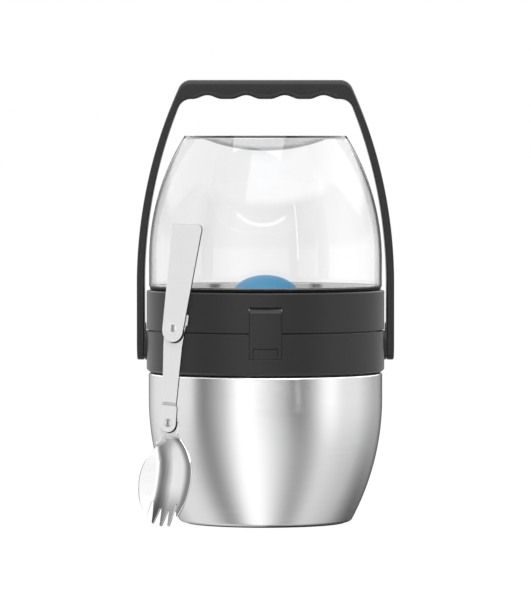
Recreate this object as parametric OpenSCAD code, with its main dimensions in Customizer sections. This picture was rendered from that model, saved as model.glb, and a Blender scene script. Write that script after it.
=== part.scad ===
// Insulated food jar with a hinged lid, a clear serving bowl, a carrying handle
// and a folding spork that leans against it. Millimetres, +Z up.
// The origin is the centre of the flat face that the jar stands on. The front is -Y.

/* [Steel body] */
// Radius of the straight part of the steel body
body_r = 61.1; // [59:0.1:64]
// Height of the top of the visible steel
body_top_z = 78.5; // [76:0.5:84]
// Height where the wall stops being straight and curves in to the foot
body_bend_z = 65; // [60:1:70]
// Radius of the long curve between the straight wall and the foot
body_curve_r = 134; // [128:1:150]
// Radius of the rounded corner at the foot
foot_fillet_r = 3; // [2:0.5:4]
// Thickness of the outer shell
shell_wall = 0.8; // [0.6:0.1:1]
// Thickness of the inner liner
liner_wall = 0.7; // [0.5:0.1:0.9]
// Width of the evacuated gap between shell and liner
vacuum_gap = 7.2; // [6.8:0.1:7.6]
// Height of the underside of the liner's floor
liner_floor_z = 10.2; // [9:0.2:13]
// Radius of the liner's rounded floor corner
liner_floor_fillet_r = 12; // [9:1:15]
// Height of the rubber pad's rest face below the steel foot
pad_step = 0.6; // [0.4:0.1:1]
// Thickness of the rubber pad
pad_t = 2.6; // [2.4:0.1:3.2]

/* [Rings] */
// How far the two plastic rings stand out from the steel
ring_proud = 1.1; // [0.9:0.1:1.6]
// Gap between the steel and the collar
collar_gap = 0.7; // [0.5:0.1:1]
// Height of the collar, the lower ring
collar_h = 21.4; // [20.6:0.1:22.4]
// Thickness of the collar's outer wall
collar_wall = 2.2; // [1.8:0.1:2.4]
// Thickness of the collar's top deck
collar_deck_t = 2.4; // [2:0.1:2.8]
// Chamfer at the collar's lower outer edge
collar_chamfer = 1.3; // [0.6:0.1:1.6]
// Seam between the collar and the lid ring
lid_seam = 0.4; // [0.3:0.05:0.6]
// Height of the lid ring, the upper ring
lid_h = 20.6; // [20:0.1:22]
// Rounded edge at the top of the lid ring
lid_fillet_r = 0.8; // [0.4:0.1:1.2]
// Wall of the lid ring above the divider
lid_wall = 5; // [4.8:0.1:5.4]
// Height of the divider's top above the foot of the lid ring
divider_rise = 8.4; // [8:0.1:9]
// Thickness of the divider plate
divider_t = 2; // [1.8:0.1:2.4]

/* [Stopper] */
// Gap between the jar's mouth and the stopper cup that hangs in it
stopper_gap = 4.4; // [4:0.2:6.4]
// Depth of the stopper cup below its flange
stopper_depth = 13.4; // [11:0.2:15]
// Wall of the stopper cup
stopper_wall = 1.6; // [1.2:0.1:2]
// Gap between the sealing gasket and the liner
gasket_clear = 0.5; // [0.5:0.05:0.8]
// Radius of the blue vent dome
vent_r = 20; // [18:0.2:21]
// Wall of the vent dome
vent_wall = 2; // [1.6:0.1:2.4]
// Travel of the vent when it is pulled up
vent_travel = 3; // [2:0.1:3]

/* [Clear bowl] */
// How far the bowl's side stands in from the rings
bowl_inset = 1.3; // [1.1:0.1:1.8]
// Height of the bowl, rim to top
bowl_h = 79.1; // [74:0.1:81]
// Height of the straight part above the rim
bowl_straight_h = 14.3; // [12:0.1:16]
// Radius of the long curve of the bowl's side
bowl_curve_r = 122; // [116:1:126]
// Wall of the bowl
bowl_wall = 2; // [1.6:0.1:2.4]
// Width of the flat rim around the dished recess in the bowl's base
dish_rim_w = 8.2; // [7.2:0.1:11.6]
// Depth of the dished recess
dish_depth = 6.7; // [5:0.1:7.5]
// Height of the dark seat that the bowl's rim rests on
seat_h = 1.6; // [1.4:0.1:2]
// Depth of the bowl's plug inside the lid ring
plug_h = 7.2; // [6:0.1:7.6]

/* [Handle] */
// Height of the grip's top above the bowl
grip_rise = 29.1; // [28.4:0.1:33]
// Thickness of the grip above the finger crests
grip_t = 9.9; // [9:0.1:10.6]
// Depth of the handle, front to back
handle_d = 19.6; // [17:0.2:20]
// Thickness of the arms
arm_t = 4.05; // [3.6:0.05:5]
// Height where the arms start to lean in
arm_bend_z = 125; // [122:1:128]
// Radius of the long curve of the arms
arm_curve_r = 250; // [240:1:275]
// Rounded outer corner of the handle
handle_corner_r = 7; // [5:0.5:9]
// Rounded inner corner of the handle
handle_inner_r = 7; // [5:0.5:8]
// Distance from one finger groove to the next
groove_pitch = 20.3; // [19:0.1:20.6]
// Half the width of a finger groove
groove_half_w = 7.6; // [6:0.1:8]
// Depth of a finger groove
groove_depth = 2; // [1:0.1:2.6]
// Bevel along the underside of the grip
grip_bevel = 2.2; // [1:0.1:3]
// Height of the handle's pivots below the top of the collar
pivot_drop = 5.6; // [5:0.1:7]
// Radius of the pivot pins
pivot_pin_r = 3.2; // [2.6:0.1:3.4]

/* [Latch and hinge] */
// Width of the latch
latch_w = 16.4; // [14:0.2:18]
// Height of the latch
latch_h = 26.6; // [25.6:0.2:27.6]
// Radius of the latch's pin
latch_pin_r = 0.8; // [0.6:0.05:1]
// Width of the finger tab at the foot of the latch
tab_w = 12.9; // [10:0.1:13.2]
// Height of the finger tab
tab_h = 5.6; // [4:0.1:6]
// Radius of the hinge barrel at the back
barrel_r = 3.6; // [3.2:0.1:4]
// Radius of the hinge pin
hinge_pin_r = 1.25; // [1:0.05:1.5]
// Width of the hinge, all knuckles
hinge_w = 28; // [24:1:34]

/* [Spork] */
// Thickness of the spork's sheet metal
sheet_t = 1; // [0.8:0.05:1.1]
// Gap between two folding layers
layer_gap = 0.3; // [0.3:0.05:0.5]
// Distance between the two rivets
link_l = 49.2; // [46:0.1:52]
// Length of the end piece above its rivet
end_l = 52.6; // [44:0.1:54]
// Half width of the end piece at its rivet
end_root_half_w = 6.2; // [5.6:0.1:6.6]
// Half width of the end piece at its tip
end_tip_half_w = 8.5; // [7:0.1:9]
// Half width of the neck of the spork's bowl
neck_half_w = 5; // [4.4:0.1:5.4]
// Half width of the spork's bowl
scoop_half_w = 15.9; // [14:0.1:17]
// Length of the spork's bowl above its widest place
scoop_up = 25.7; // [24:0.1:27]
// Length of the spork's bowl below its widest place
scoop_down = 21; // [19:0.1:22]
// Depth of the spork's bowl
scoop_depth = 7.9; // [7.6:0.1:8.4]
// Distance from the lower rivet to the bowl's widest place
scoop_drop = 32.9; // [31:0.1:35]
// Radius of the rivet shanks
rivet_r = 1.5; // [1.2:0.05:1.8]
// Turn of the spork's face away from the front
spork_yaw = 30; // [25:1:35]
// Lean of the spork against the jar
spork_lean = 1.7; // [1.5:0.1:3]
// Sideways place of the lower rivet
spork_side = -20.8; // [-24:0.1:-19]

/* [Hidden] */
$fn = 96;
fine = 24;
eps = 0.02;

// Running clearance of a pin in its bore, and the gap between stacked fixed pieces
run_clear = 0.05;
fit_clear = 0.2;

// Steel body
curve_c_r = body_r - body_curve_r;
foot_c_z = pad_step + foot_fillet_r;
foot_c_r = curve_c_r + sqrt(pow(body_curve_r - foot_fillet_r, 2) - pow(body_bend_z - foot_c_z, 2));
foot_angle = atan2(foot_c_z - body_bend_z, foot_c_r - curve_c_r);
liner_offset = shell_wall + vacuum_gap;
liner_out_r = body_r - liner_offset;
mouth_r = liner_out_r - liner_wall;
liner_c_z = liner_floor_z + liner_floor_fillet_r;
liner_c_r = curve_c_r + sqrt(pow(body_curve_r - liner_offset - liner_floor_fillet_r, 2)
    - pow(body_bend_z - liner_c_z, 2));
liner_angle = atan2(liner_c_z - body_bend_z, liner_c_r - curve_c_r);
neck_gap = 0.9;
neck_in_r = liner_out_r + neck_gap;
neck_out_r = neck_in_r + shell_wall;
bead_r = 0.9;
bead_z = body_top_z + 9.5;
base_disc_t = 0.8;
base_disc_r = foot_c_r - 0.5;
seal_r = 3;
getter_r = 6;

// Rings
ring_r = body_r + ring_proud;
collar_z0 = body_top_z + collar_gap;
collar_z1 = collar_z0 + collar_h;
collar_gasket_h = 1.2;
rim_z = collar_z1 - collar_deck_t - collar_gasket_h;
rim_t = 0.8;
sleeve_in_r = neck_out_r + fit_clear;
sleeve_wall = 1.8;
sleeve_z0 = bead_z - 4;
deck_in_r = mouth_r + 0.6;
lid_z0 = collar_z1 + lid_seam;
lid_z1 = lid_z0 + lid_h;
lid_in_r = ring_r - lid_wall;
rebate_r = ring_r - 3.4;
divider_z1 = lid_z0 + divider_rise;
divider_z0 = divider_z1 - divider_t;
divider_r = rebate_r - fit_clear;

// Stopper
stopper_r = mouth_r - stopper_gap;
flange_t = 1.6;
flange_z0 = lid_z0 + 0.4;
flange_z1 = flange_z0 + flange_t;
stopper_z0 = flange_z0 - stopper_depth;
post_circle_r = divider_r - 5;
post_count = 6;
post_r = 3;
screw_r = 1.25;
screw_head_r = 2.4;
screw_head_t = 0.9;
screw_l = 4.6;
tube_out_r = 9.2;
tube_in_r = 8;
steam_hole_r = 1.2;
jar_gasket_r = mouth_r - gasket_clear;
jar_gasket_z0 = rim_z - 3;
jar_gasket_z1 = rim_z - 0.5;
gasket_groove = 0.6;
vent_stem_r = 3.6;
vent_lip_r = 5.2;
vent_lip_t = 1;
vent_stem_z0 = divider_z0 - vent_travel - vent_lip_t - 0.3;
vent_gap = 0.1;
grommet_r = 6;
grommet_hole_r = vent_stem_r + 0.3;

// Clear bowl
bowl_r = ring_r - bowl_inset;
bowl_z0 = lid_z1 + seat_h;
bowl_z1 = bowl_z0 + bowl_h;
bowl_bend_z = bowl_z0 + bowl_straight_h;
bowl_c_r = bowl_r - bowl_curve_r;
bowl_edge_r = 1;
bowl_edge_c_z = bowl_z1 - bowl_edge_r;
bowl_edge_c_r = bowl_c_r + sqrt(pow(bowl_curve_r - bowl_edge_r, 2) - pow(bowl_edge_c_z - bowl_bend_z, 2));
bowl_edge_angle = atan2(bowl_edge_c_z - bowl_bend_z, bowl_edge_c_r - bowl_c_r);
bowl_top_z = bowl_z1 - bowl_wall;
bowl_in_angle = asin((bowl_top_z - bowl_bend_z) / (bowl_curve_r - bowl_wall));
dish_r = bowl_edge_c_r - dish_rim_w;
dish_sphere_r = (pow(dish_r, 2) + pow(dish_depth, 2)) / (2 * dish_depth);
dish_c_z = bowl_z1 - dish_depth + dish_sphere_r;
dish_angle = asin(dish_r / dish_sphere_r);
plug_out_r = lid_in_r - 0.6;
plug_in_r = plug_out_r - bowl_wall;
plug_z0 = bowl_z0 - plug_h;

// Handle
pivot_z = collar_z1 - pivot_drop;
arm_round_r = handle_d / 2;
boss_h = 0.75;
boss_x = ring_r + boss_h;
boss_clear = 0.3;
boss_in_x = ring_r - collar_wall - 0.6;
arm_in_x = boss_x + 0.15;
arm_out_x = arm_in_x + arm_t;
grip_z1 = bowl_z1 + grip_rise;
grip_z0 = grip_z1 - grip_t;
grip_edge_r = 3;
groove_count = 4;
outer_c_x = arm_out_x - arm_curve_r;
inner_c_x = arm_in_x - arm_curve_r;
outer_fillet_z = grip_z1 - handle_corner_r;
outer_fillet_x = outer_c_x + sqrt(pow(arm_curve_r - handle_corner_r, 2) - pow(outer_fillet_z - arm_bend_z, 2));
inner_fillet_z = grip_z0 - handle_inner_r;
inner_fillet_x = inner_c_x + sqrt(pow(arm_curve_r - handle_inner_r, 2) - pow(inner_fillet_z - arm_bend_z, 2));
pin_end_x = arm_in_x + arm_t * 0.7;
pin_flange_r = pivot_pin_r + 1.6;
pin_flange_t = 1.2;
pin_flange_x = boss_in_x - pin_flange_t;

// Latch
latch_z1 = lid_z1 - 6.7;
latch_z0 = latch_z1 - latch_h;
latch_t = 1.9;
latch_knuckle_r = 1.8;
latch_pin_z = latch_z1 - latch_knuckle_r;
latch_pin_y = -(ring_r - 2.3);
latch_gap = 0.4;
latch_in_y = -(ring_r - latch_t);
recess_y = latch_in_y + 0.3;
latch_bevel_z = latch_z1 - 3.6;
latch_bevel = 1.6;
tab_groove_w = 0.5;
tab_groove_depth = 0.4;
hook_reach = 2.1;
hook_h = 2.1;
catch_t = 2.7;
hook_z1 = collar_z1 - catch_t - 0.3;
hook_z0 = hook_z1 - hook_h;
pocket_y = latch_in_y + hook_reach + 0.3;
latch_pin_half_l = latch_w / 2 + 2.6;

// Hinge at the back
hinge_y = ring_r + barrel_r + 0.4;
hinge_z = (collar_z1 + lid_z0) / 2;
middle_knuckle_w = hinge_w * 0.42;
knuckle_gap = 0.3;
web_in_y = ring_r - 2.2;

// Spork, in its own frame: X across the sheet, Y up the sheet, Z out from the jar
layer = sheet_t + layer_gap;
scoop_tilt = -3.7;
link_tilt = -3.4;
end_tilt = -9.1;
scoop_across_r = 22;
scoop_along_r = 46;
neck_r = neck_half_w - 0.1;
rivet_head_r = 2.2;
rivet_head_t = 0.35;
low_head_t = 0.2;
end_heel = 1.3;
end_corner_r = 2;
link_root_half_w = 4.8;
link_waist_half_w = 4.1;
link_crease_y = 9.8;
link_top_half_w = 5.8;
ear_half_w = 7.9;
ear_h = 7.1;
tine_count = 5;
tine_pitch = 4.9;
tine_shift = -1;
slot_w = 3.4;
slot_root_w = 0.8;
slot_top = 10.5;
tip_clear = 0.6;
spork_stand_off = ring_r - 0.3 - layer;
stand_off_z = collar_z1 + lid_h / 2;
spork_z = tip_clear + (scoop_drop + scoop_down) * cos(scoop_tilt) * cos(spork_lean);
spork_out = spork_stand_off + (stand_off_z - spork_z) * tan(spork_lean);

// ---- Outlines ----

// Points on an arc about a centre, from one angle to another
function arc(cx, cy, r, a0, a1, n) =
    [for (i = [0:n]) [cx + r * cos(a0 + (a1 - a0) * i / n), cy + r * sin(a0 + (a1 - a0) * i / n)]];

function reversed(list) = [for (i = [len(list) - 1:-1:0]) list[i]];

// The steel body's side, moved in by a distance, from the foot up to the straight wall's top
function body_side(inset, top) = concat(
    arc(foot_c_r, foot_c_z, foot_fillet_r - inset, -90, foot_angle, 8),
    arc(curve_c_r, body_bend_z, body_curve_r - inset, foot_angle + 1, 0, fine),
    [[body_r - inset, top]]
);

// The liner's side, moved in by a distance, from the middle of its floor to the straight wall
function liner_side(inset) = concat(
    [[0, liner_floor_z + inset]],
    arc(liner_c_r, liner_c_z, liner_floor_fillet_r - inset, -90, liner_angle, 10),
    arc(curve_c_r, body_bend_z, body_curve_r - liner_offset - inset, liner_angle + 1, 0, fine)
);

// The handle's front outline on the +X side: out and up the arm, then over to the middle
function handle_outer() = concat(
    [[arm_out_x, pivot_z - arm_round_r]],
    arc(outer_c_x, arm_bend_z, arm_curve_r, 0,
        atan2(outer_fillet_z - arm_bend_z, outer_fillet_x - outer_c_x), fine),
    arc(outer_fillet_x, outer_fillet_z, handle_corner_r,
        atan2(outer_fillet_z - arm_bend_z, outer_fillet_x - outer_c_x) + 4, 90, 10)
);

function handle_inner() = concat(
    [[arm_in_x, pivot_z - arm_round_r]],
    arc(inner_c_x, arm_bend_z, arm_curve_r, 0,
        atan2(inner_fillet_z - arm_bend_z, inner_fillet_x - inner_c_x), fine),
    arc(inner_fillet_x, inner_fillet_z, handle_inner_r,
        atan2(inner_fillet_z - arm_bend_z, inner_fillet_x - inner_c_x) + 4, 90, 10)
);

function groove_x(i) = (i - (groove_count - 1) / 2) * groove_pitch;

// One finger groove in the grip's underside
function groove(i) = [for (k = [0:12]) let (u = -1 + k / 6)
    [groove_x(i) + u * groove_half_w, grip_z0 + groove_depth * (1 + cos(180 * u)) / 2]];

function mirrored(list) = [for (p = list) [-p[0], p[1]]];

function handle_outline() = concat(
    handle_outer(),
    mirrored(reversed(handle_outer())),
    mirrored(handle_inner()),
    [for (i = [0:groove_count - 1]) each groove(i)],
    reversed(handle_inner())
);

// Half of the egg-shaped edge of the spork's bowl, tip to neck
function scoop_half_edge() = [for (a = [-90:6:66])
    [scoop_half_w * cos(a), (a < 0 ? scoop_down : scoop_up) * sin(a)]];

// ---- Helpers ----

module revolve(points) {
    rotate_extrude() polygon(points);
}

// A plain tube or, with no inner radius, a disc
module ring(r_out, r_in, z0, z1) {
    difference() {
        translate([0, 0, z0]) cylinder(r = r_out, h = z1 - z0);
        if (r_in > 0) translate([0, 0, z0 - 1]) cylinder(r = r_in, h = z1 - z0 + 2);
    }
}

module box(x0, x1, y0, y1, z0, z1) {
    translate([x0, y0, z0]) cube([x1 - x0, y1 - y0, z1 - z0]);
}

// A cylinder along X
module rod_x(r, x0, x1, y, z) {
    translate([x0, y, z]) rotate([0, 90, 0]) cylinder(r = r, h = x1 - x0);
}

// Extrudes a front outline through the depth of the part
module extrude_front(depth) {
    translate([0, depth / 2, 0]) rotate([90, 0, 0]) linear_extrude(depth) children();
}

// Extrudes an outline drawn as depth and height along the width of the part
module extrude_side(width) {
    translate([-width / 2, 0, 0]) rotate([90, 0, 90]) linear_extrude(width) children();
}

// ---- Steel body ----

module outer_shell() {
    color("silver") {
        revolve(concat(
            body_side(0, body_top_z - 0.8),
            [[body_r - 0.8, body_top_z], [neck_out_r, body_top_z], [neck_out_r, rim_z - rim_t],
             [neck_in_r, rim_z - rim_t], [neck_in_r, body_top_z - shell_wall]],
            reversed(body_side(shell_wall, body_top_z - shell_wall)),
            [[foot_c_r - 0.3, pad_step + shell_wall], [foot_c_r - 0.3, pad_step]]
        ));
        // Snap bead that holds the collar
        rotate_extrude() intersection() {
            translate([neck_out_r, bead_z]) circle(r = bead_r, $fn = 32);
            translate([neck_out_r - eps, bead_z - bead_r]) square([bead_r + eps, 2 * bead_r]);
        }
    }
}

module inner_liner() {
    color("gainsboro") revolve(concat(
        liner_side(0),
        [[liner_out_r, rim_z - rim_t], [neck_out_r, rim_z - rim_t], [neck_out_r, rim_z],
         [mouth_r, rim_z]],
        reversed(liner_side(liner_wall))
    ));
}

module base_disc() {
    color("silver") difference() {
        union() {
            ring(base_disc_r, 0, pad_t, pad_t + base_disc_t);
            ring(base_disc_r, base_disc_r - base_disc_t, pad_step, pad_t + base_disc_t);
        }
        translate([0, 0, pad_t - 1]) cylinder(r = seal_r / 2, h = base_disc_t + 2);
    }
}

// Glass bead that closes the hole through which the gap was evacuated
module vacuum_seal() {
    color("dimgray") {
        ring(seal_r / 2, 0, pad_t - 0.5, pad_t + base_disc_t + 0.3);
        ring(seal_r, 0, pad_t - 0.6, pad_t);
    }
}

// Gas-absorbing pellet welded under the liner's floor
module getter() {
    color("darkgray") ring(getter_r, 0, liner_floor_z - 1.6, liner_floor_z);
}

module base_pad() {
    color("#2b2b2b") difference() {
        ring(base_disc_r - base_disc_t - 0.1, 0, 0, pad_t);
        translate([0, 0, pad_t - 0.8]) cylinder(r = seal_r + 0.3, h = 2);
    }
}

// ---- Collar ----

module collar_outline() {
    difference() {
        polygon([
            [ring_r - collar_wall, collar_z0], [ring_r - collar_chamfer, collar_z0],
            [ring_r, collar_z0 + collar_chamfer], [ring_r, collar_z1],
            [deck_in_r, collar_z1], [deck_in_r, collar_z1 - collar_deck_t],
            [sleeve_in_r, collar_z1 - collar_deck_t], [sleeve_in_r, sleeve_z0],
            [sleeve_in_r + sleeve_wall, sleeve_z0],
            [sleeve_in_r + sleeve_wall, collar_z1 - collar_deck_t],
            [ring_r - collar_wall, collar_z1 - collar_deck_t]
        ]);
        translate([neck_out_r, bead_z]) circle(r = bead_r + 0.1, $fn = 32);
    }
}

// The round boss that carries one handle arm, thinned where it stands beside the lid ring
module pivot_boss(side) {
    mirror([side < 0 ? 1 : 0, 0, 0]) difference() {
        rod_x(arm_round_r, boss_in_x, boss_x, 0, pivot_z);
        box(0, ring_r + boss_clear, -handle_d, handle_d, collar_z1, pivot_z + handle_d);
    }
}

module latch_pocket() {
    half = latch_w / 2 + latch_gap;
    box(-half, half, -ring_r - 2, recess_y, latch_z0 - latch_gap, collar_z1 + 1);
    box(-half, half, -ring_r - 2, pocket_y, hook_z0 - latch_gap, collar_z1 - catch_t);
}

module collar() {
    color("#3c3c3c") difference() {
        union() {
            rotate_extrude() collar_outline();
            for (side = [-1, 1]) pivot_boss(side);
            // Wall behind the latch pocket
            intersection() {
                box(-latch_w / 2 - 2, latch_w / 2 + 2, -ring_r, pocket_y + 1.2,
                    latch_z0 - 2, collar_z1 - eps);
                ring(ring_r, sleeve_in_r + 1, collar_z0, collar_z1);
            }
            // Web and middle knuckle of the hinge
            intersection() {
                box(-middle_knuckle_w / 2, middle_knuckle_w / 2, web_in_y, hinge_y,
                    hinge_z - barrel_r, collar_z1);
                box(-hinge_w, hinge_w, 0, hinge_y, hinge_z - barrel_r, hinge_z - 0.2);
            }
            rod_x(barrel_r, -middle_knuckle_w / 2, middle_knuckle_w / 2, hinge_y, hinge_z);
        }
        latch_pocket();
        rod_x(hinge_pin_r, -hinge_w, hinge_w, hinge_y, hinge_z);
        for (side = [-1, 1]) mirror([side < 0 ? 1 : 0, 0, 0]) {
            rod_x(pivot_pin_r, pin_flange_x, boss_x + 1, 0, pivot_z);
            rod_x(pin_flange_r + fit_clear, pin_flange_x - 1, pin_flange_x + pin_flange_t, 0, pivot_z);
        }
    }
}

module collar_gasket() {
    color("#262626") ring(neck_out_r - 0.1, deck_in_r + 0.1, rim_z, collar_z1 - collar_deck_t);
}

module hinge_pin() {
    color("silver") rod_x(hinge_pin_r, -hinge_w / 2, hinge_w / 2, hinge_y, hinge_z);
}

// Headed pin from inside the collar into the blind bore of an arm
module pivot_pin(side) {
    color("#333333") mirror([side < 0 ? 1 : 0, 0, 0]) {
        rod_x(pivot_pin_r, pin_flange_x, pin_end_x, 0, pivot_z);
        rod_x(pin_flange_r, pin_flange_x, pin_flange_x + pin_flange_t, 0, pivot_z);
    }
}

// ---- Lid ----

module lid_ring() {
    color("#3c3c3c") difference() {
        union() {
            revolve(concat(
                [[rebate_r, lid_z0], [ring_r, lid_z0], [ring_r, lid_z1 - lid_fillet_r]],
                arc(ring_r - lid_fillet_r, lid_z1 - lid_fillet_r, lid_fillet_r, 15, 90, 5),
                [[lid_in_r, lid_z1], [lid_in_r, divider_z1], [rebate_r, divider_z1]]
            ));
            // Two outer knuckles of the hinge with their webs
            for (side = [-1, 1]) mirror([side < 0 ? 1 : 0, 0, 0]) {
                rod_x(barrel_r, middle_knuckle_w / 2 + knuckle_gap, hinge_w / 2, hinge_y, hinge_z);
                box(middle_knuckle_w / 2 + knuckle_gap, hinge_w / 2, web_in_y, hinge_y,
                    lid_z0 + 0.2, hinge_z + barrel_r);
            }
        }
        // Recess of the latch, its pivot and the pin's two blind bores
        box(-latch_w / 2 - latch_gap, latch_w / 2 + latch_gap, -ring_r - 2, recess_y,
            lid_z0 - 1, latch_z1 + latch_gap);
        rod_x(latch_knuckle_r + 0.3, -latch_w / 2 - latch_gap, latch_w / 2 + latch_gap,
            latch_pin_y, latch_pin_z);
        rod_x(latch_pin_r, -latch_pin_half_l, latch_pin_half_l, latch_pin_y, latch_pin_z);
        rod_x(hinge_pin_r + run_clear, -hinge_w, hinge_w, hinge_y, hinge_z);
    }
}

module at_posts() {
    for (i = [0:post_count - 1]) rotate([0, 0, (i + 0.5) * 360 / post_count])
        translate([post_circle_r, 0, 0]) children();
}

module divider() {
    color("#303030") difference() {
        union() {
            ring(divider_r, 0, divider_z0, divider_z1);
            at_posts() translate([0, 0, flange_z1])
                cylinder(r = post_r, h = divider_z0 - flange_z1 + eps, $fn = 32);
        }
        translate([0, 0, divider_z0 - 1]) cylinder(r = grommet_r, h = divider_t + 2);
        at_posts() translate([0, 0, flange_z1 - 1])
            cylinder(r = screw_r, h = screw_l + 0.4 - screw_head_t, $fn = 24);
    }
}

module stopper_shell() {
    color("#303030") difference() {
        union() {
            ring(divider_r, stopper_r - stopper_wall, flange_z0, flange_z1);
            ring(stopper_r, stopper_r - stopper_wall, stopper_z0, flange_z1);
            ring(stopper_r, 0, stopper_z0, stopper_z0 + stopper_wall);
            ring(tube_out_r, tube_in_r, stopper_z0, divider_z0);
        }
        // Groove of the sealing gasket
        ring(stopper_r + 1, stopper_r - gasket_groove, jar_gasket_z0, jar_gasket_z1);
        // Screw holes with room for the heads
        at_posts() translate([0, 0, flange_z0 - 1]) cylinder(r = screw_r + 0.15, h = 5, $fn = 24);
        at_posts() translate([0, 0, flange_z0 - 1])
            cylinder(r = screw_head_r + 0.2, h = 1 + screw_head_t, $fn = 32);
        // Steam holes under the vent
        for (i = [0:4]) rotate([0, 0, i * 72]) translate([tube_in_r * 0.6, 0, stopper_z0 - 1])
            cylinder(r = steam_hole_r, h = stopper_wall + 2, $fn = 24);
    }
}

module stopper_foam() {
    color("white") ring(stopper_r - stopper_wall - 0.2, tube_out_r + 0.2,
        stopper_z0 + stopper_wall, divider_z0 - 0.2);
}

module jar_gasket() {
    color("#4a90c0") ring(jar_gasket_r, stopper_r - gasket_groove + eps, jar_gasket_z0, jar_gasket_z1);
}

module stopper_screws() {
    color("silver") at_posts() {
        translate([0, 0, flange_z0]) cylinder(r = screw_r, h = screw_l, $fn = 24);
        translate([0, 0, flange_z0]) cylinder(r = screw_head_r, h = screw_head_t, $fn = 32);
    }
}

module vent_grommet() {
    color("#262626") ring(grommet_r, grommet_hole_r, divider_z0, divider_z1);
}

// Dark ring under the bowl's rim, flared like the rim that it carries
module bowl_seat() {
    color("#1e1e1e") revolve([
        [lid_in_r + 0.2, lid_z1], [bowl_r - 2.3, lid_z1],
        [bowl_r - 0.6, bowl_z0], [lid_in_r + 0.2, bowl_z0]
    ]);
}

module latch_pin() {
    color("silver") rod_x(latch_pin_r, -latch_pin_half_l, latch_pin_half_l, latch_pin_y, latch_pin_z);
}

module vent_dome() {
    color("#3f8fc6") {
        translate([0, 0, divider_z1 + vent_gap]) difference() {
            sphere(r = vent_r);
            sphere(r = vent_r - vent_wall);
            translate([-vent_r - 1, -vent_r - 1, -vent_r - 1])
                cube([2 * vent_r + 2, 2 * vent_r + 2, vent_r + 1]);
        }
        translate([0, 0, vent_stem_z0])
            cylinder(r = vent_stem_r, h = divider_z1 + vent_r - vent_wall / 2 - vent_stem_z0, $fn = 48);
        translate([0, 0, vent_stem_z0]) cylinder(r = vent_lip_r, h = vent_lip_t, $fn = 48);
    }
}

// ---- Clear bowl ----

module clear_bowl() {
    color("#dfe8ec80") difference() {
        revolve(concat(
            [[plug_in_r, plug_z0], [plug_out_r, plug_z0], [plug_out_r, bowl_z0], [bowl_r, bowl_z0]],
            arc(bowl_c_r, bowl_bend_z, bowl_curve_r, 0, bowl_edge_angle, fine),
            arc(bowl_edge_c_r, bowl_edge_c_z, bowl_edge_r, bowl_edge_angle + 10, 90, 5),
            [[0, bowl_z1], [0, bowl_top_z - dish_depth]],
            arc(0, dish_c_z, dish_sphere_r + bowl_wall, -90 + 2, -90 + dish_angle, 10),
            reversed(arc(bowl_c_r, bowl_bend_z, bowl_curve_r - bowl_wall, 0, bowl_in_angle, fine)),
            [[bowl_r - bowl_wall, bowl_z0 + bowl_wall], [plug_in_r, bowl_z0 + bowl_wall]]
        ));
        translate([0, 0, dish_c_z]) sphere(r = dish_sphere_r);
    }
}

// ---- Latch ----

// Depth and height of the latch seen from its side, with the hook and the round knuckle
function latch_side() = concat(
    [[-ring_r - 1, latch_z0], [latch_in_y, latch_z0], [latch_in_y, hook_z0],
     [latch_in_y + hook_reach, hook_z0], [latch_in_y + hook_reach, hook_z1], [latch_in_y, hook_z1]],
    arc(latch_pin_y, latch_pin_z, latch_knuckle_r,
        -180 + acos((latch_pin_y - latch_in_y) / latch_knuckle_r), 90, 16),
    [[-ring_r + latch_bevel, latch_z1], [-ring_r, latch_bevel_z], [-ring_r - 1, latch_bevel_z]]
);

// Shallow groove around the finger tab
module tab_groove() {
    x1 = tab_w / 2 + tab_groove_w;
    z1 = latch_z0 + tab_h + tab_groove_w;
    intersection() {
        ring(ring_r + 1, ring_r - tab_groove_depth, latch_z0 - 1, z1, $fn = 360);
        difference() {
            box(-x1, x1, -ring_r - 2, -ring_r + 4, latch_z0 - 2, z1 + 1);
            box(-tab_w / 2, tab_w / 2, -ring_r - 3, -ring_r + 5, latch_z0 - 3, latch_z0 + tab_h);
        }
    }
}

module latch() {
    color("#3c3c3c") difference() {
        intersection() {
            extrude_side(latch_w) polygon(latch_side());
            ring(ring_r, 0, latch_z0 - 1, latch_z1 + 1, $fn = 360);
        }
        rod_x(latch_pin_r + run_clear, -latch_w, latch_w, latch_pin_y, latch_pin_z);
        tab_groove();
    }
}

// ---- Handle ----

module handle_side_outline() {
    translate([0, pivot_z]) circle(r = arm_round_r);
    polygon(concat(
        [[-arm_round_r, pivot_z], [arm_round_r, pivot_z]],
        arc(arm_round_r - grip_edge_r, grip_z1 - grip_edge_r, grip_edge_r, 0, 90, 6),
        arc(-arm_round_r + grip_edge_r, grip_z1 - grip_edge_r, grip_edge_r, 90, 180, 6)
    ));
}

module handle() {
    color("#3c3c3c") difference() {
        intersection() {
            extrude_front(handle_d + 2) polygon(handle_outline());
            extrude_side(2 * arm_out_x + 2) handle_side_outline();
        }
        // Bevels under the grip
        for (side = [-1, 1]) extrude_side(2 * groove_x(groove_count - 0.5)) polygon([
            [side * (arm_round_r - grip_bevel), grip_z0 - eps], [side * (arm_round_r + 1), grip_z0 - eps],
            [side * (arm_round_r + 1), grip_z0 + grip_bevel + 1], [side * arm_round_r, grip_z0 + grip_bevel]
        ]);
        for (side = [-1, 1]) rod_x(pivot_pin_r + run_clear,
            side < 0 ? -pin_end_x - 0.2 : arm_in_x - 1,
            side < 0 ? -arm_in_x + 1 : pin_end_x + 0.2, 0, pivot_z);
    }
}

// ---- Spork ----

module spork_frame() {
    rotate([0, 0, -spork_yaw]) translate([spork_side, -spork_out, spork_z])
        rotate([90 - spork_lean, 0, 0]) children();
}

module link_frame() {
    spork_frame() rotate([0, 0, link_tilt]) children();
}

module end_frame() {
    link_frame() translate([0, link_l, 0]) rotate([0, 0, end_tilt - link_tilt]) children();
}

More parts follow.
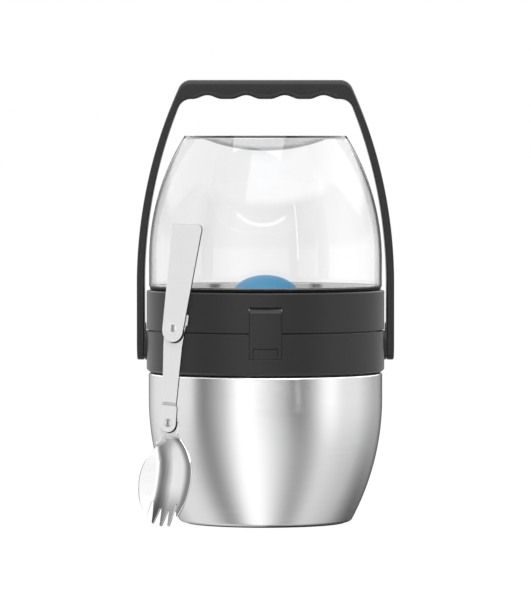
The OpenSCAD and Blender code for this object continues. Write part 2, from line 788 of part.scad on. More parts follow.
module scoop_slots() {
    for (i = [0:tine_count - 2]) {
        x = (i - (tine_count - 2) / 2) * tine_pitch + tine_shift;
        polygon([[x - slot_root_w / 2, -slot_top], [x + slot_root_w / 2, -slot_top],
                 [x * 1.1 + slot_w / 2, -scoop_down - 1], [x * 1.1 - slot_w / 2, -scoop_down - 1]]);
    }
}

module spork_scoop() {
    edge = scoop_half_edge();
    across = scoop_across_r;
    color("gainsboro") spork_frame() rotate([0, 0, scoop_tilt]) difference() {
        union() {
            // Dished bowl with tines
            translate([0, -scoop_drop, 0]) intersection() {
                translate([0, 0, -scoop_depth - 1]) linear_extrude(scoop_depth + 4) difference() {
                    polygon(concat(edge, mirrored(reversed(edge))));
                    scoop_slots();
                }
                translate([0, 0, scoop_along_r - scoop_depth]) rotate([0, 90, 0]) rotate_extrude()
                    translate([scoop_along_r - across, 0]) intersection() {
                        difference() {
                            circle(r = across);
                            circle(r = across - sheet_t);
                        }
                        translate([0, -across]) square([across, 2 * across]);
                    }
            }
            // Neck
            linear_extrude(sheet_t) {
                circle(r = neck_r, $fn = 48);
                translate([-neck_r, -scoop_drop + scoop_up - 4]) square([2 * neck_r, scoop_drop - scoop_up + 4]);
            }
        }
        translate([0, 0, -1]) cylinder(r = rivet_r + run_clear, h = 4, $fn = 32);
    }
}

module spork_link() {
    color("gainsboro") link_frame() translate([0, 0, layer]) difference() {
        linear_extrude(sheet_t) {
            circle(r = link_root_half_w, $fn = 48);
            polygon([
                [-link_root_half_w, 0], [link_root_half_w, 0],
                [link_root_half_w, link_crease_y - 1], [link_waist_half_w, link_crease_y + 1],
                [link_top_half_w - 0.3, link_l - 9], [ear_half_w, link_l + ear_h],
                [-link_top_half_w, link_l + ear_h], [-link_top_half_w, link_l - 9],
                [-link_waist_half_w, link_crease_y + 1], [-link_root_half_w, link_crease_y - 1]
            ]);
        }
        translate([0, 0, -1]) cylinder(r = rivet_r, h = 4, $fn = 32);
        translate([0, link_l, -1]) cylinder(r = rivet_r, h = 4, $fn = 32);
    }
}

module spork_end() {
    tip_x = end_tip_half_w - end_corner_r;
    tip_y = end_l - end_corner_r;
    color("gainsboro") end_frame() translate([0, 0, 2 * layer]) difference() {
        linear_extrude(sheet_t) {
            translate([0, -end_heel]) circle(r = end_root_half_w, $fn = 48);
            polygon(concat(
                [[-end_root_half_w, -end_heel], [end_root_half_w, -end_heel]],
                arc(tip_x, tip_y, end_corner_r, 0, 90, 6),
                arc(-tip_x, tip_y, end_corner_r, 90, 180, 6)
            ));
        }
        translate([0, 0, -1]) cylinder(r = rivet_r + run_clear, h = 4, $fn = 32);
    }
}

module rivet(z0, z1, back_t, front_t) {
    translate([0, 0, z0 - back_t]) cylinder(r = rivet_r, h = z1 - z0 + back_t + front_t, $fn = 32);
    translate([0, 0, z0 - back_t]) cylinder(r = rivet_head_r, h = back_t, $fn = 32);
    translate([0, 0, z1]) cylinder(r = rivet_head_r, h = front_t, $fn = 32);
}

module spork_rivet_lower() {
    color("darkgray") link_frame() rivet(-run_clear, layer + sheet_t, rivet_head_t, low_head_t);
}

module spork_rivet_upper() {
    color("darkgray") link_frame() translate([0, link_l, 0])
        rivet(layer, 2 * layer + sheet_t + run_clear, low_head_t, rivet_head_t);
}

outer_shell();
inner_liner();
base_disc();
vacuum_seal();
getter();
base_pad();
collar();
collar_gasket();
hinge_pin();
pivot_pin(-1);  // pivot_pin_left
pivot_pin(1);  // pivot_pin_right
lid_ring();
divider();
stopper_shell();
stopper_foam();
jar_gasket();
stopper_screws();
vent_grommet();
bowl_seat();
latch_pin();
vent_dome();
clear_bowl();
latch();
handle();
spork_scoop();
spork_link();
spork_end();
spork_rivet_lower();
spork_rivet_upper();
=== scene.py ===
# %% [markdown]
# # An insulated food jar with a serving bowl and a folding spork
#
# A food jar keeps a meal hot in a steel body with two walls and nothing between
# them. On top sits a plastic lid, a clear bowl that is turned over the lid like a
# hood, and a carrying handle. A folding spork leans on the front.
#
# The solids of the jar are already made, and they move on joints. This script
# dresses them: it gives each one a finish, and where a smooth sweep of plastic or
# steel needs a finer surface than a solid's facets, it makes that surface with
# numpy and hides the solid behind it.
#
# Lengths are written in millimetres, as in a maker's drawing, and turned to
# metres once, when a mesh is made. X is to the right, Y to the back and Z up.
# The jar stands on Z = 0, with its axis on X = Y = 0.

# %% Start: bring in the solids
import math

import bmesh
import bpy
import numpy as np
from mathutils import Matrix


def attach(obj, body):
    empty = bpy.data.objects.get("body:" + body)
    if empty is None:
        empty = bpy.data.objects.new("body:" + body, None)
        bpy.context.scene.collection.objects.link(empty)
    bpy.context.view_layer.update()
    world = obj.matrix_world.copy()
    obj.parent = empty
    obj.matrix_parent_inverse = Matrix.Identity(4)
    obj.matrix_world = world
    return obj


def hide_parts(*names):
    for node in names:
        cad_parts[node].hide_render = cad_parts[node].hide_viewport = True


MM = 0.001

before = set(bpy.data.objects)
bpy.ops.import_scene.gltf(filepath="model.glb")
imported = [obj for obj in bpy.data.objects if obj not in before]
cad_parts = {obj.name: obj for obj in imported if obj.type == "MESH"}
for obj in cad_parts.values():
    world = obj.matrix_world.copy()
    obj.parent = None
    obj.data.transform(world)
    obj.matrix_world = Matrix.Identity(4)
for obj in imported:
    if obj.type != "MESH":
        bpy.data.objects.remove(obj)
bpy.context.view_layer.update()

# %% [markdown]
# ## From a grid of points to a mesh
#
# Every new surface here is a grid: each row is one step along the piece, and each
# column one step across it. A mesh needs the points as one long list and each
# face as four numbers of points, so both come out of a whole array at once.
#
# Where a surface closes on itself, or shrinks to a point at a pole, neighbouring
# points land on the same place. Merging them closes the seam, and turning all
# faces outwards afterwards makes light fall on the right side.

# %% Mesh from points and faces
def make_mesh(name, points, faces, smooth_to=38):
    """Points in mm and faces as rows of point numbers become an object at the origin.
    Doubles are merged, faces turned outwards, and edges sharper than smooth_to
    degrees stay sharp."""
    mesh = bpy.data.meshes.new(name)
    mesh.from_pydata((np.asarray(points) * MM).tolist(), [], faces)
    sheet = bmesh.new()
    sheet.from_mesh(mesh)
    bmesh.ops.remove_doubles(sheet, verts=sheet.verts, dist=2e-6)
    bmesh.ops.recalc_face_normals(sheet, faces=sheet.faces)
    sheet.to_mesh(mesh)
    sheet.free()
    piece = bpy.data.objects.new(name, mesh)
    bpy.context.scene.collection.objects.link(piece)
    soften(piece, smooth_to)
    return piece


def soften(piece, smooth_to):
    """All faces shade smooth, but an edge that turns by more than smooth_to degrees
    stays a crisp edge."""
    mesh = piece.data
    mesh.polygons.foreach_set("use_smooth", np.ones(len(mesh.polygons), bool))
    mesh.set_sharp_from_angle(angle=math.radians(smooth_to))


def even_normals(piece):
    """Large faces decide how the light turns at their edges, so a flat wall beside
    a narrow rounding still shades flat."""
    weighted = piece.modifiers.new("even normals", "WEIGHTED_NORMAL")
    weighted.keep_sharp = True
    weighted.weight = 80


def mark(piece, name, amount):
    """Store on each point how much of a finish it has, from its place in mm."""
    at = np.empty(3 * len(piece.data.vertices))
    piece.data.vertices.foreach_get("co", at)
    values = piece.data.attributes.new(name, "FLOAT", "POINT")
    values.data.foreach_set("value", amount(at.reshape(-1, 3) / MM).astype(float))


def grid_faces(rows, columns, first=0, close_rows=False, close_columns=False):
    """Number the points of a grid row by row. The face at (i, j) has the corners
    (i, j), (i+1, j), (i+1, j+1) and (i, j+1)."""
    number = first + np.arange(rows * columns).reshape(rows, columns)
    if close_rows:
        number = np.vstack([number, number[:1]])
    if close_columns:
        number = np.hstack([number, number[:, :1]])
    corners = (number[:-1, :-1], number[1:, :-1], number[1:, 1:], number[:-1, 1:])
    return np.stack(corners, -1).reshape(-1, 4).tolist()


# %% [markdown]
# ## Outlines drawn with arcs
#
# A moulder or a metal spinner draws the side of a round part as straight lines
# and arcs. Two helpers do the same: one walks along an arc, the other rounds the
# corners of a closed outline, each with its own radius.

# %% Arcs and rounded corners
def arc(cx, cy, radius, start, stop, steps=24):
    """Centre plus radius times (cosine, sine) of an angle that goes from start to
    stop, in degrees."""
    a = np.radians(np.linspace(start, stop, steps))
    return np.stack([cx + radius * np.cos(a), cy + radius * np.sin(a)], -1)


def round_corner(before, corner, after, radius, steps=6):
    """The arc that touches both lines of a corner. It starts and ends where the two
    lines are radius / tan(half the angle between them) from the corner."""
    before, corner, after = (np.asarray(p, float) for p in (before, corner, after))
    if radius <= 0:
        return corner[None]
    u = (before - corner) / np.linalg.norm(before - corner)
    v = (after - corner) / np.linalg.norm(after - corner)
    half = math.acos(np.clip(u @ v, -1, 1)) / 2
    middle = (u + v) / np.linalg.norm(u + v)
    centre = corner + middle * radius / math.sin(half)
    start, stop = (corner + d * radius / math.tan(half) - centre for d in (u, v))
    a0 = math.atan2(start[1], start[0])
    turn = (math.atan2(stop[1], stop[0]) - a0 + math.pi) % (2 * math.pi) - math.pi
    return arc(*centre, radius, math.degrees(a0), math.degrees(a0 + turn), steps)


def rounded(corners, steps=6):
    """A closed outline from rows of (x, y, radius): each corner becomes its arc."""
    c = np.asarray(corners, float)
    rows = zip(np.roll(c, 1, 0), c, np.roll(c, -1, 0))
    return np.vstack([round_corner(b[:2], p[:2], n[:2], p[2], steps) for b, p, n in rows])


# %% [markdown]
# ## Turned parts
#
# The steel body is spun on a lathe, and the bowl and the dome come out of round
# moulds. So each is a profile, drawn as distance from the axis and height, and
# carried once round the axis. 288 steps round a jar 122 mm wide are 1.3 mm each,
# which is too fine to see as facets.

# %% Turn a profile about the jar's axis
TURNS = 288


def turned(name, profile, turns=TURNS, closed=True, smooth_to=38):
    """A profile point (r, z) and an angle a give (r cos a, r sin a, z)."""
    a = np.linspace(0, 2 * math.pi, turns, endpoint=False)
    r, z = np.asarray(profile, float).T
    grid = np.stack([np.outer(r, np.cos(a)), np.outer(r, np.sin(a)),
                     np.repeat(z[:, None], turns, 1)], -1)
    faces = grid_faces(len(r), turns, close_rows=closed, close_columns=True)
    piece = make_mesh(name, grid.reshape(-1, 3), faces, smooth_to)
    even_normals(piece)
    print(name, "has", len(piece.data.polygons), "faces")
    return piece


# %% [markdown]
# ## The steel body
#
# The body is a stainless cup, drawn and spun from sheet 0.6 mm thick. Its side is
# straight for a short way below the collar and then follows one long arc in to
# the foot, where it rolls under. A shoulder closes it round the neck, which holds
# the collar. It is drawn as one closed profile, outside and inside, so it has
# its real wall.

# %% Steel body
BODY_R, BODY_TOP, BODY_BEND, BODY_CURVE = 61.1, 78.5, 65.0, 134.0
FOOT_R, FOOT_Z, FOOT_FILLET = 42.822, 3.6, 3.0
NECK_OUT, NECK_IN, NECK_TOP, SHELL_WALL = 54.8, 54.0, 96.2, 0.6
SHOULDER_R, NECK_EASE = 1.2, 0.4
FOOT_ANGLE = math.degrees(math.atan2(FOOT_Z - BODY_BEND, FOOT_R - BODY_R + BODY_CURVE))


def body_side(inset):
    """The foot's small arc, then the long arc up to the straight wall, both moved in
    by the same distance, so that the wall has one thickness."""
    foot = arc(FOOT_R, FOOT_Z, FOOT_FILLET - inset, -90, FOOT_ANGLE, 10)
    side = arc(BODY_R - BODY_CURVE, BODY_BEND, BODY_CURVE - inset, FOOT_ANGLE, 0, 60)
    return np.vstack([foot, side[1:]])


shoulder = arc(BODY_R - SHOULDER_R, BODY_TOP - SHOULDER_R, SHOULDER_R, 0, 90, 8)
body_profile = np.vstack([
    body_side(0), shoulder,
    [[NECK_OUT + NECK_EASE, BODY_TOP], [NECK_OUT, BODY_TOP + NECK_EASE], [NECK_OUT, NECK_TOP],
     [NECK_IN, NECK_TOP], [NECK_IN, BODY_TOP - SHELL_WALL]],
    arc(BODY_R - SHOULDER_R, BODY_TOP - SHOULDER_R, SHOULDER_R - SHELL_WALL, 90, 0, 6),
    body_side(SHELL_WALL)[::-1],
])
steel_body = turned("steel_body", body_profile)

# %% [markdown]
# ## The clear bowl
#
# The bowl is moulded from a clear, tough plastic, drawn with a wall of 1.1 mm. It
# stands on its rim, so its base is at the top, where a shallow dish lets it stack.
# Light bends at each of its faces, and that draws the bright and dark lines along
# its edges. So it needs both faces of the wall, with a thickness between them, and
# small radii where the faces meet.

# %% Clear bowl
BOWL_R, BOWL_Z0, BOWL_Z1, BOWL_BEND, BOWL_CURVE = 60.9, 123.5, 202.3, 137.5, 122.0
BOWL_WALL, BASE_T, RIM_T = 1.1, 1.4, 0.4
EDGE_R, RIM_R, FLOOR_R, CEILING_R = 0.5, 0.3, 0.4, 1.2
DISH_R, DISH_DEPTH, DISH_EDGE = 33.5, 6.7, 0.7
PLUG_OUT, PLUG_Z0, PLUG_T, PLUG_R = 56.6, 116.0, 2.3, 0.7
BOWL_CX = BOWL_R - BOWL_CURVE
EDGE_X = BOWL_CX + math.sqrt((BOWL_CURVE - EDGE_R) ** 2 - (BOWL_Z1 - EDGE_R - BOWL_BEND) ** 2)
EDGE_ANGLE = math.degrees(math.atan2(BOWL_Z1 - EDGE_R - BOWL_BEND, EDGE_X - BOWL_CX))
DISH_SPHERE = (DISH_R ** 2 + DISH_DEPTH ** 2) / (2 * DISH_DEPTH)
DISH_CZ = BOWL_Z1 - DISH_DEPTH + DISH_SPHERE
INSIDE_R = BOWL_CURVE - BOWL_WALL
CEILING = BOWL_Z1 - BASE_T


def dish(radius, top, fillet, steps=40):
    """The dish from the axis outwards, ended by a small arc onto the flat rim at the
    given height. The arc's centre is fillet away from both the sphere and the flat."""
    cz = top - fillet
    cx = math.sqrt((radius + fillet) ** 2 - (DISH_CZ - cz) ** 2)
    touch = math.degrees(math.atan2(DISH_CZ - cz, -cx))
    end = math.degrees(math.atan2(cz - DISH_CZ, cx))
    return np.vstack([arc(0, DISH_CZ, radius, -90, end, steps),
                      arc(cx, cz, fillet, touch, 90, 6)[1:]])


inner_cz = CEILING - CEILING_R
inner_cx = BOWL_CX + math.sqrt((INSIDE_R - CEILING_R) ** 2 - (inner_cz - BOWL_BEND) ** 2)
inner_angle = math.degrees(math.atan2(inner_cz - BOWL_BEND, inner_cx - BOWL_CX))
bowl_profile = np.vstack([
    dish(DISH_SPHERE, BOWL_Z1, DISH_EDGE),
    arc(EDGE_X, BOWL_Z1 - EDGE_R, EDGE_R, 90, EDGE_ANGLE, 8),
    arc(BOWL_CX, BOWL_BEND, BOWL_CURVE, EDGE_ANGLE, 0, 90)[1:],
    arc(BOWL_R - RIM_R, BOWL_Z0 + RIM_R, RIM_R, 0, -90, 5),
    arc(PLUG_OUT + RIM_R, BOWL_Z0 - RIM_R, RIM_R, 90, 180, 4),
    arc(PLUG_OUT - PLUG_R, PLUG_Z0 + PLUG_R, PLUG_R, 0, -90, 5),
    arc(PLUG_OUT - PLUG_T, PLUG_Z0 + PLUG_R, PLUG_R, -90, -180, 5),
    arc(PLUG_OUT - BOWL_WALL + RIM_R, BOWL_Z0 + RIM_T - RIM_R, RIM_R, 180, 90, 5),
    arc(BOWL_R - BOWL_WALL - FLOOR_R, BOWL_Z0 + RIM_T + FLOOR_R, FLOOR_R, -90, 0, 6),
    arc(BOWL_CX, BOWL_BEND, INSIDE_R, 0, inner_angle, 90),
    arc(inner_cx, inner_cz, CEILING_R, inner_angle, 90, 10)[1:],
    dish(DISH_SPHERE + BASE_T, CEILING, DISH_EDGE)[::-1],
])
clear_bowl = turned("serving_bowl", bowl_profile, closed=False, smooth_to=60)


# %% Clear bowl: its plug, marked for the finish, and its base, marked for a painted shade
def on_plug(points):
    """1 on the plug that fits into the lid and on the rim's flat floor beside it."""
    x, y, z = points.T
    return (np.hypot(x, y) < BOWL_R - BOWL_WALL - 0.3) & (z < BOWL_Z0 + RIM_T + 0.01)


def painted_dish_shade_at(points):
    """1 on both faces of the dish, which is thicker than the wall. There the colour is painted greyer,
    as shade.
    """
    x, y, z = points.T
    return (np.hypot(x, y) < DISH_R) & (z > CEILING - DISH_DEPTH - 1)


mark(clear_bowl, "plug", on_plug)
# Painted shade: the dish's faces are marked to be coloured greyer.
mark(clear_bowl, "base", painted_dish_shade_at)
print("marked:", [row.name for row in clear_bowl.data.attributes if row.name in ("plug", "base")])

# %% [markdown]
# ## The dark seat and the blue vent
#
# The bowl's rim rests on a thin dark ring with a flared edge. In the middle of
# the lid, under the bowl, a dome of blue silicone can be pulled up to let steam
# out. Its stem goes down through the lid. The dome is soft, so its lower edge is
# rounded and its top is a little flatter than a sphere.

# %% Seat and vent
LID_TOP, LID_IN_R = 121.6, 57.2
seat = turned("bowl_seat_ring", rounded([
    (LID_IN_R + 0.2, LID_TOP, 0), (BOWL_R - 1.6, LID_TOP, 0), (BOWL_R - 0.5, LID_TOP + 0.7, 0.3),
    (BOWL_R - 0.5, BOWL_Z0, 0.2), (LID_IN_R + 0.2, BOWL_Z0, 0)]))

VENT_R, VENT_WALL, VENT_Z, HEM_R = 20.0, 2.0, 109.5, 0.6
STEM_R, STEM_TOP, STEM_EASE, STEM_Z, BARB_R, BARB_T = 3.6, 15.8, 1.2, 103.1, 5.2, 1.0
dome_angle = np.radians(np.linspace(90, 2, 60))
dome_r = VENT_R * np.cos(dome_angle) * (1 + 0.2 * np.sin(dome_angle) ** 2)
vent_profile = np.vstack([
    np.stack([dome_r, VENT_Z + VENT_R * np.sin(dome_angle)], -1),
    arc(VENT_R - HEM_R, VENT_Z + HEM_R, HEM_R, 0, -90, 5),
    arc(VENT_R - VENT_WALL + HEM_R, VENT_Z + HEM_R, HEM_R, -90, -180, 5),
    arc(0, VENT_Z, VENT_R - VENT_WALL, 4, 77, 30),
    arc(STEM_R + STEM_EASE, VENT_Z + STEM_TOP, STEM_EASE, 90, 180, 6),
    [[STEM_R, STEM_Z + BARB_T], [BARB_R, STEM_Z + BARB_T], [BARB_R, STEM_Z], [0, STEM_Z]],
])
vent = turned("vent_dome_soft", vent_profile, closed=False)

# %% [markdown]
# ## The handle
#
# The handle is one moulding: two flat arms that turn on pins, and a grip with
# four hollows for the fingers. Seen from the front it is a band between an outer
# and an inner line. So it is a section, a rectangle with rounded corners, carried
# along that band. The outer corners' radius changes on the way: small on the arms,
# large on top of the grip, where a hand holds it.

# %% Handle: the outer and the inner line, from the right pivot to the middle
PIVOT_Z, HANDLE_D = 95.0, 19.6
ARM_OUT, ARM_IN, ARM_BEND, ARM_CURVE, CORNER_R = 67.15, 63.1, 125.0, 250.0, 7.0
GRIP_TOP, GRIP_LOW = 231.4, 221.5
GROOVES, GROOVE_PITCH, GROOVE_HALF, GROOVE_DEPTH = 4, 20.3, 7.6, 2.0


def underside(x):
    """The grip's lower line: flat, with a raised cosine of the groove's depth in
    each finger hollow."""
    middle = (np.arange(GROOVES) - (GROOVES - 1) / 2) * GROOVE_PITCH
    u = np.clip((x[:, None] - middle) / GROOVE_HALF, -1, 1)
    return GRIP_LOW + GROOVE_DEPTH * (1 + np.cos(math.pi * u)).sum(1) / 2


def band_line(arm_x, top, steps=100):
    """Up the arm, in along the long arc, round the corner and over to the middle."""
    cx = arm_x - ARM_CURVE
    corner_z = top - CORNER_R
    corner_x = cx + math.sqrt((ARM_CURVE - CORNER_R) ** 2 - (corner_z - ARM_BEND) ** 2)
    lean = math.degrees(math.atan2(corner_z - ARM_BEND, corner_x - cx))
    x = np.linspace(corner_x, 0, steps)
    height = underside(x) if top == GRIP_LOW else np.full(steps, top)
    return np.vstack([
        np.stack([np.full(8, arm_x), np.linspace(PIVOT_Z, ARM_BEND - 1, 8)], -1),
        arc(cx, ARM_BEND, ARM_CURVE, 0, lean, 60),
        arc(corner_x, corner_z, CORNER_R, lean, 90, 18)[1:-1],
        np.stack([x, height], -1),
    ])


def both_sides(half):
    """The right half of a line, and then its mirror image back down on the left."""
    return np.vstack([half, half[-2::-1] * [-1, 1]])


outer_line, inner_line = (both_sides(band_line(x, top))
                          for x, top in ((ARM_OUT, GRIP_TOP), (ARM_IN, GRIP_LOW)))
print("the handle's band has", len(outer_line), "steps")

# %% Handle: the section carried along the band
ARM_EDGE, GRIP_EDGE_TOP, GRIP_EDGE_LOW = 0.9, 2.7, 0.9
quarter = np.radians(np.linspace(0, 90, 6))
rise, fall = np.sin(quarter), 1 - np.cos(quarter)

# One column for each point of the front half of the section, outer face first.
# How far a point is from the outer line is a sum of the band's thickness and the
# two radii, and so is its depth towards the front.
groove = np.array([-1.7, -1.4, -1.15])


def column(outer_edge, groove_points, inner_edge, inner_end):
    """One amount for each point: 0 at the outer line, then the outer rounding, the
    groove's three points, the inner rounding and the inner line."""
    return np.concatenate([[0], outer_edge + 0 * fall, groove_points + 0 * groove,
                           inner_edge + 0 * rise, [inner_end]])


thick_part = column(0, 1, 1, 1)
outer_part = column(fall, 0, 0, 0)
inner_part = column(0, -1, rise - 1, 0)
depth_part = column(1, 1, 1, 0)
outer_depth = column(rise - 1, 0, 0, 0)
inner_depth = column(0, 0, -fall, 0)
# A fine groove runs along the grip just above its lower edge.
groove_across = column(0, groove, 0, 0)
groove_depth = column(0, np.array([0, -0.45, -0.12]), 0, 0)
GRIP_FROM, GRIP_BLEND, GROOVE_END, GROOVE_FADE = 200, 26, 41, 6


def smooth_step(t):
    """0 below 0, 1 above 1, and 3t^2 - 2t^3 between them."""
    t = np.clip(t, 0, 1)
    return t * t * (3 - 2 * t)


# %% Handle: the section at each step of the band
def handle_section(outer, inner):
    """Distance along the band's thickness and depth to the front, for each step of
    the band and each point of the half section."""
    across = np.linalg.norm(inner - outer, axis=1)
    grip = smooth_step((outer[:, 1] - GRIP_FROM) / GRIP_BLEND)
    r_out = ARM_EDGE + (GRIP_EDGE_TOP - ARM_EDGE) * grip
    r_in = ARM_EDGE + (GRIP_EDGE_LOW - ARM_EDGE) * grip
    grooved = smooth_step((GROOVE_END - np.abs(outer[:, 0])) / GROOVE_FADE)
    grooved = grooved * (outer[:, 1] > GRIP_LOW)
    out = (np.outer(across, thick_part) + np.outer(r_out, outer_part)
           + np.outer(r_in, inner_part) + np.outer(grooved, groove_across))
    depth = (HANDLE_D / 2 * depth_part + np.outer(r_out, outer_depth)
             + np.outer(r_in, inner_depth) + np.outer(grooved, groove_depth))
    return out, depth, (inner - outer) / across[:, None]


# %% Handle: the sweep
def make_handle():
    """Front half of the section in columns, then the back half in reverse, for each
    step of the band. Each arm ends in half a turn of the same half section about
    its pivot."""
    out, depth, inward = handle_section(outer_line, inner_line)
    flat = outer_line[:, None] + out[..., None] * inward[:, None]
    front = np.stack([flat[..., 0], -depth, flat[..., 1]], -1)
    back = (front * [1, -1, 1])[:, -2:0:-1]
    loop = np.concatenate([front, back], 1)
    points, faces = [loop.reshape(-1, 3)], grid_faces(*loop.shape[:2], close_columns=True)
    half_turn = np.radians(np.linspace(0, 180, 40))[:, None]
    for end in (front[0], front[-1]):
        x, y = end[:, 0] + 0 * half_turn, end[:, 1]
        disc = np.stack([x, y * np.cos(half_turn), PIVOT_Z + y * np.sin(half_turn)], -1)
        faces += grid_faces(*disc.shape[:2], first=sum(len(p) for p in points))
        points.append(disc.reshape(-1, 3))
    piece = make_mesh("carrying_handle", np.vstack(points), faces)
    even_normals(piece)
    return piece


handle = make_handle()
print("handle:", len(handle.data.polygons), "faces")

# %% [markdown]
# ## Moulded parts with cut-outs
#
# The two rings and the latch have pockets, bosses and holes, which a turned
# profile can't give. Their solids are right already, but a solid's edges are
# perfectly sharp, and no real moulding has such an edge: it always carries a small
# radius that catches the light.
#
# So a copy is made. A solid's mesh is loose triangles, so the copy's doubles are
# merged and its flat triangles are joined into whole faces, and then Bevel can
# round every edge by a few tenths of a millimetre.

# %% Ease the edges of a copy of a solid
def eased(node, name, radius, fit, segments=3, angle=32, harden=False):
    """A merged copy of a solid whose edges sharper than an angle are rounded by a
    radius in mm. fit moves its points first, by the fraction of a millimetre that
    a seam opens or a gap closes."""
    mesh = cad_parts[node].data.copy()
    mesh.name = name
    shape = bmesh.new()
    shape.from_mesh(mesh)
    bmesh.ops.remove_doubles(shape, verts=shape.verts, dist=2e-6)
    places = fit(np.array([v.co for v in shape.verts]) / MM) * MM
    for vertex, place in zip(shape.verts, places):
        vertex.co = place
    bmesh.ops.dissolve_limit(shape, angle_limit=math.radians(0.3), verts=shape.verts,
                             edges=shape.edges)
    bmesh.ops.recalc_face_normals(shape, faces=shape.faces)
    shape.to_mesh(mesh)
    shape.free()
    mesh.materials.clear()
    piece = bpy.data.objects.new(name, mesh)
    bpy.context.scene.collection.objects.link(piece)
    if mesh.has_custom_normals:
        with bpy.context.temp_override(object=piece, active_object=piece):
            bpy.ops.mesh.customdata_custom_splitnormals_clear()
    soften(piece, angle)
    bevel = piece.modifiers.new("eased edges", "BEVEL")
    bevel.width = radius * MM
    bevel.segments = segments
    bevel.angle_limit = math.radians(angle)
    bevel.miter_outer = "MITER_ARC"
    bevel.harden_normals = harden
    if not harden:
        even_normals(piece)
    print(name, "eased by", radius, "mm")
    return piece


# %% Rings and latch
COLLAR_TOP, LID_LOW, SEAM_EASE, RING_IN = 100.6, 101.0, 0.25, 50.0
LATCH_X, LATCH_LOW, LATCH_TOP, LATCH_GAP, TAB_TOP, TAB_X = 8.2, 88.3, 114.9, 0.4, 93.9, 6.95
RECESS_LOWER, RECESS_FOOT, RECESS_SIDE = 0.95, 0.25, 0.25
HEAD_Z, HEAD_SHARE, SLOPE_R, SLOPE_FROM, SLOPE_Z = 111.3, 0.78, 62.1, 111.2, 111.4
TAB_SIDE, TAB_SHARE, TAB_SINK, TAB_LOWER, FOOT_LOWER = 0.955, 0.975, 0.3, 1.1, 0.4
GROOVE_R, GROOVE_SHARE = 61.8, 0.992
LIP_OUT, LIP_IN, LIP_FOOT, LIP_TOP = 60.0, 56.0, 100.0, 101.15


def at(values, target):
    """Which values are the target, give or take rounding."""
    return np.abs(values - target) < 0.06


def fit_ring(points):
    """The seam's two edges move apart, and the recess closes round the latch."""
    x, y, z = points.T.copy()
    outside = np.hypot(x, y) > RING_IN
    recess = (y < 0) & (np.abs(x) < LATCH_X + LATCH_GAP + 0.1)
    z[at(z, COLLAR_TOP) & outside] -= SEAM_EASE
    z[at(z, LID_LOW) & outside] += SEAM_EASE
    z[at(z, LATCH_TOP + LATCH_GAP) & recess] -= RECESS_LOWER
    z[at(z, LATCH_LOW - LATCH_GAP) & recess] -= RECESS_FOOT
    side = at(np.abs(x), LATCH_X + LATCH_GAP) & recess
    x[side] *= (LATCH_X + RECESS_SIDE) / (LATCH_X + LATCH_GAP)
    return np.stack([x, y, z], -1)


def fit_latch(points):
    """The plate's head is a little lower, with a level slope, its foot a little
    longer, and the groove round the finger tab wider and deeper."""
    x, y, z = points.T.copy()
    out = np.hypot(x, y)
    tab = at(z, TAB_TOP) | ((z < TAB_TOP) & (np.abs(x) < TAB_X - 0.4))
    groove = at(out, GROOVE_R) & (z < TAB_TOP + 0.6)
    x[(z < TAB_TOP + 0.6) & (np.abs(x) < TAB_X + 0.1)] *= TAB_SIDE
    x[tab] *= TAB_SHARE
    z[at(z, TAB_TOP)] -= TAB_SINK
    slope = (out > SLOPE_R) & (z > SLOPE_FROM)
    z = np.where(z > HEAD_Z, HEAD_Z + (z - HEAD_Z) * HEAD_SHARE, z)
    z[slope] = SLOPE_Z
    lower = np.where(z < TAB_TOP + 0.6, z - TAB_LOWER, z)
    z = np.where(z < LATCH_LOW + 0.1, z - FOOT_LOWER, lower)
    x[groove], y[groove] = x[groove] * GROOVE_SHARE, y[groove] * GROOVE_SHARE
    return np.stack([x, y, z], -1)


collar = eased("collar", "collar_ring", 0.35, fit_ring)
# A low lip on the collar closes the seam behind its open edge.
seam_lip = turned("seam_lip", [[LIP_OUT, LIP_FOOT], [LIP_OUT, LIP_TOP],
                               [LIP_IN, LIP_TOP], [LIP_IN, LIP_FOOT]])
lid_ring = eased("lid_ring", "lid_band", 0.35, fit_ring)
latch = eased("latch", "latch_plate", 0.22, fit_latch, angle=14, harden=True)

# %% [markdown]
# ## The folding spork
#
# The spork is stamped from 1 mm stainless sheet, in three parts: a bowl with a
# short neck, a link and an end piece. It leans on the jar, turned to its own
# side, so each part is drawn flat, in its own plane, and then stood in place.

# %% Spork: its place on the jar
SHEET_T = 1.0
spork_origin = np.array([-49.1523, -43.5343, 54.3640])
spork_right = np.array([math.cos(math.radians(30)), -math.sin(math.radians(30)), 0])
spork_out = np.array([-0.49978, -0.86564, 0.02967])
spork_up = np.cross(spork_out, spork_right)
SCOOP_TILT, LINK_TILT, END_TILT, LINK_LENGTH, LAYER = -3.7, -3.4, -9.1, 49.2, 1.3
link_top = np.array([-LINK_LENGTH * math.sin(math.radians(LINK_TILT)),
                     LINK_LENGTH * math.cos(math.radians(LINK_TILT))])
print("from rivet to rivet", LINK_LENGTH, "mm")


def place_sheet(x, y, z, tilt, start=(0, 0)):
    """A point of the flat sheet, turned in its own plane and stood against the jar:
    origin + x right + y up + z out."""
    c, s = math.cos(math.radians(tilt)), math.sin(math.radians(tilt))
    u, v = start[0] + x * c - y * s, start[1] + x * s + y * c
    return (spork_origin + u[..., None] * spork_right + v[..., None] * spork_up
            + z[..., None] * spork_out)


# %% [markdown]
# The link and the end piece are flat, so an outline is enough: one face in front,
# one behind and a wall between them. A press leaves their edges slightly round.

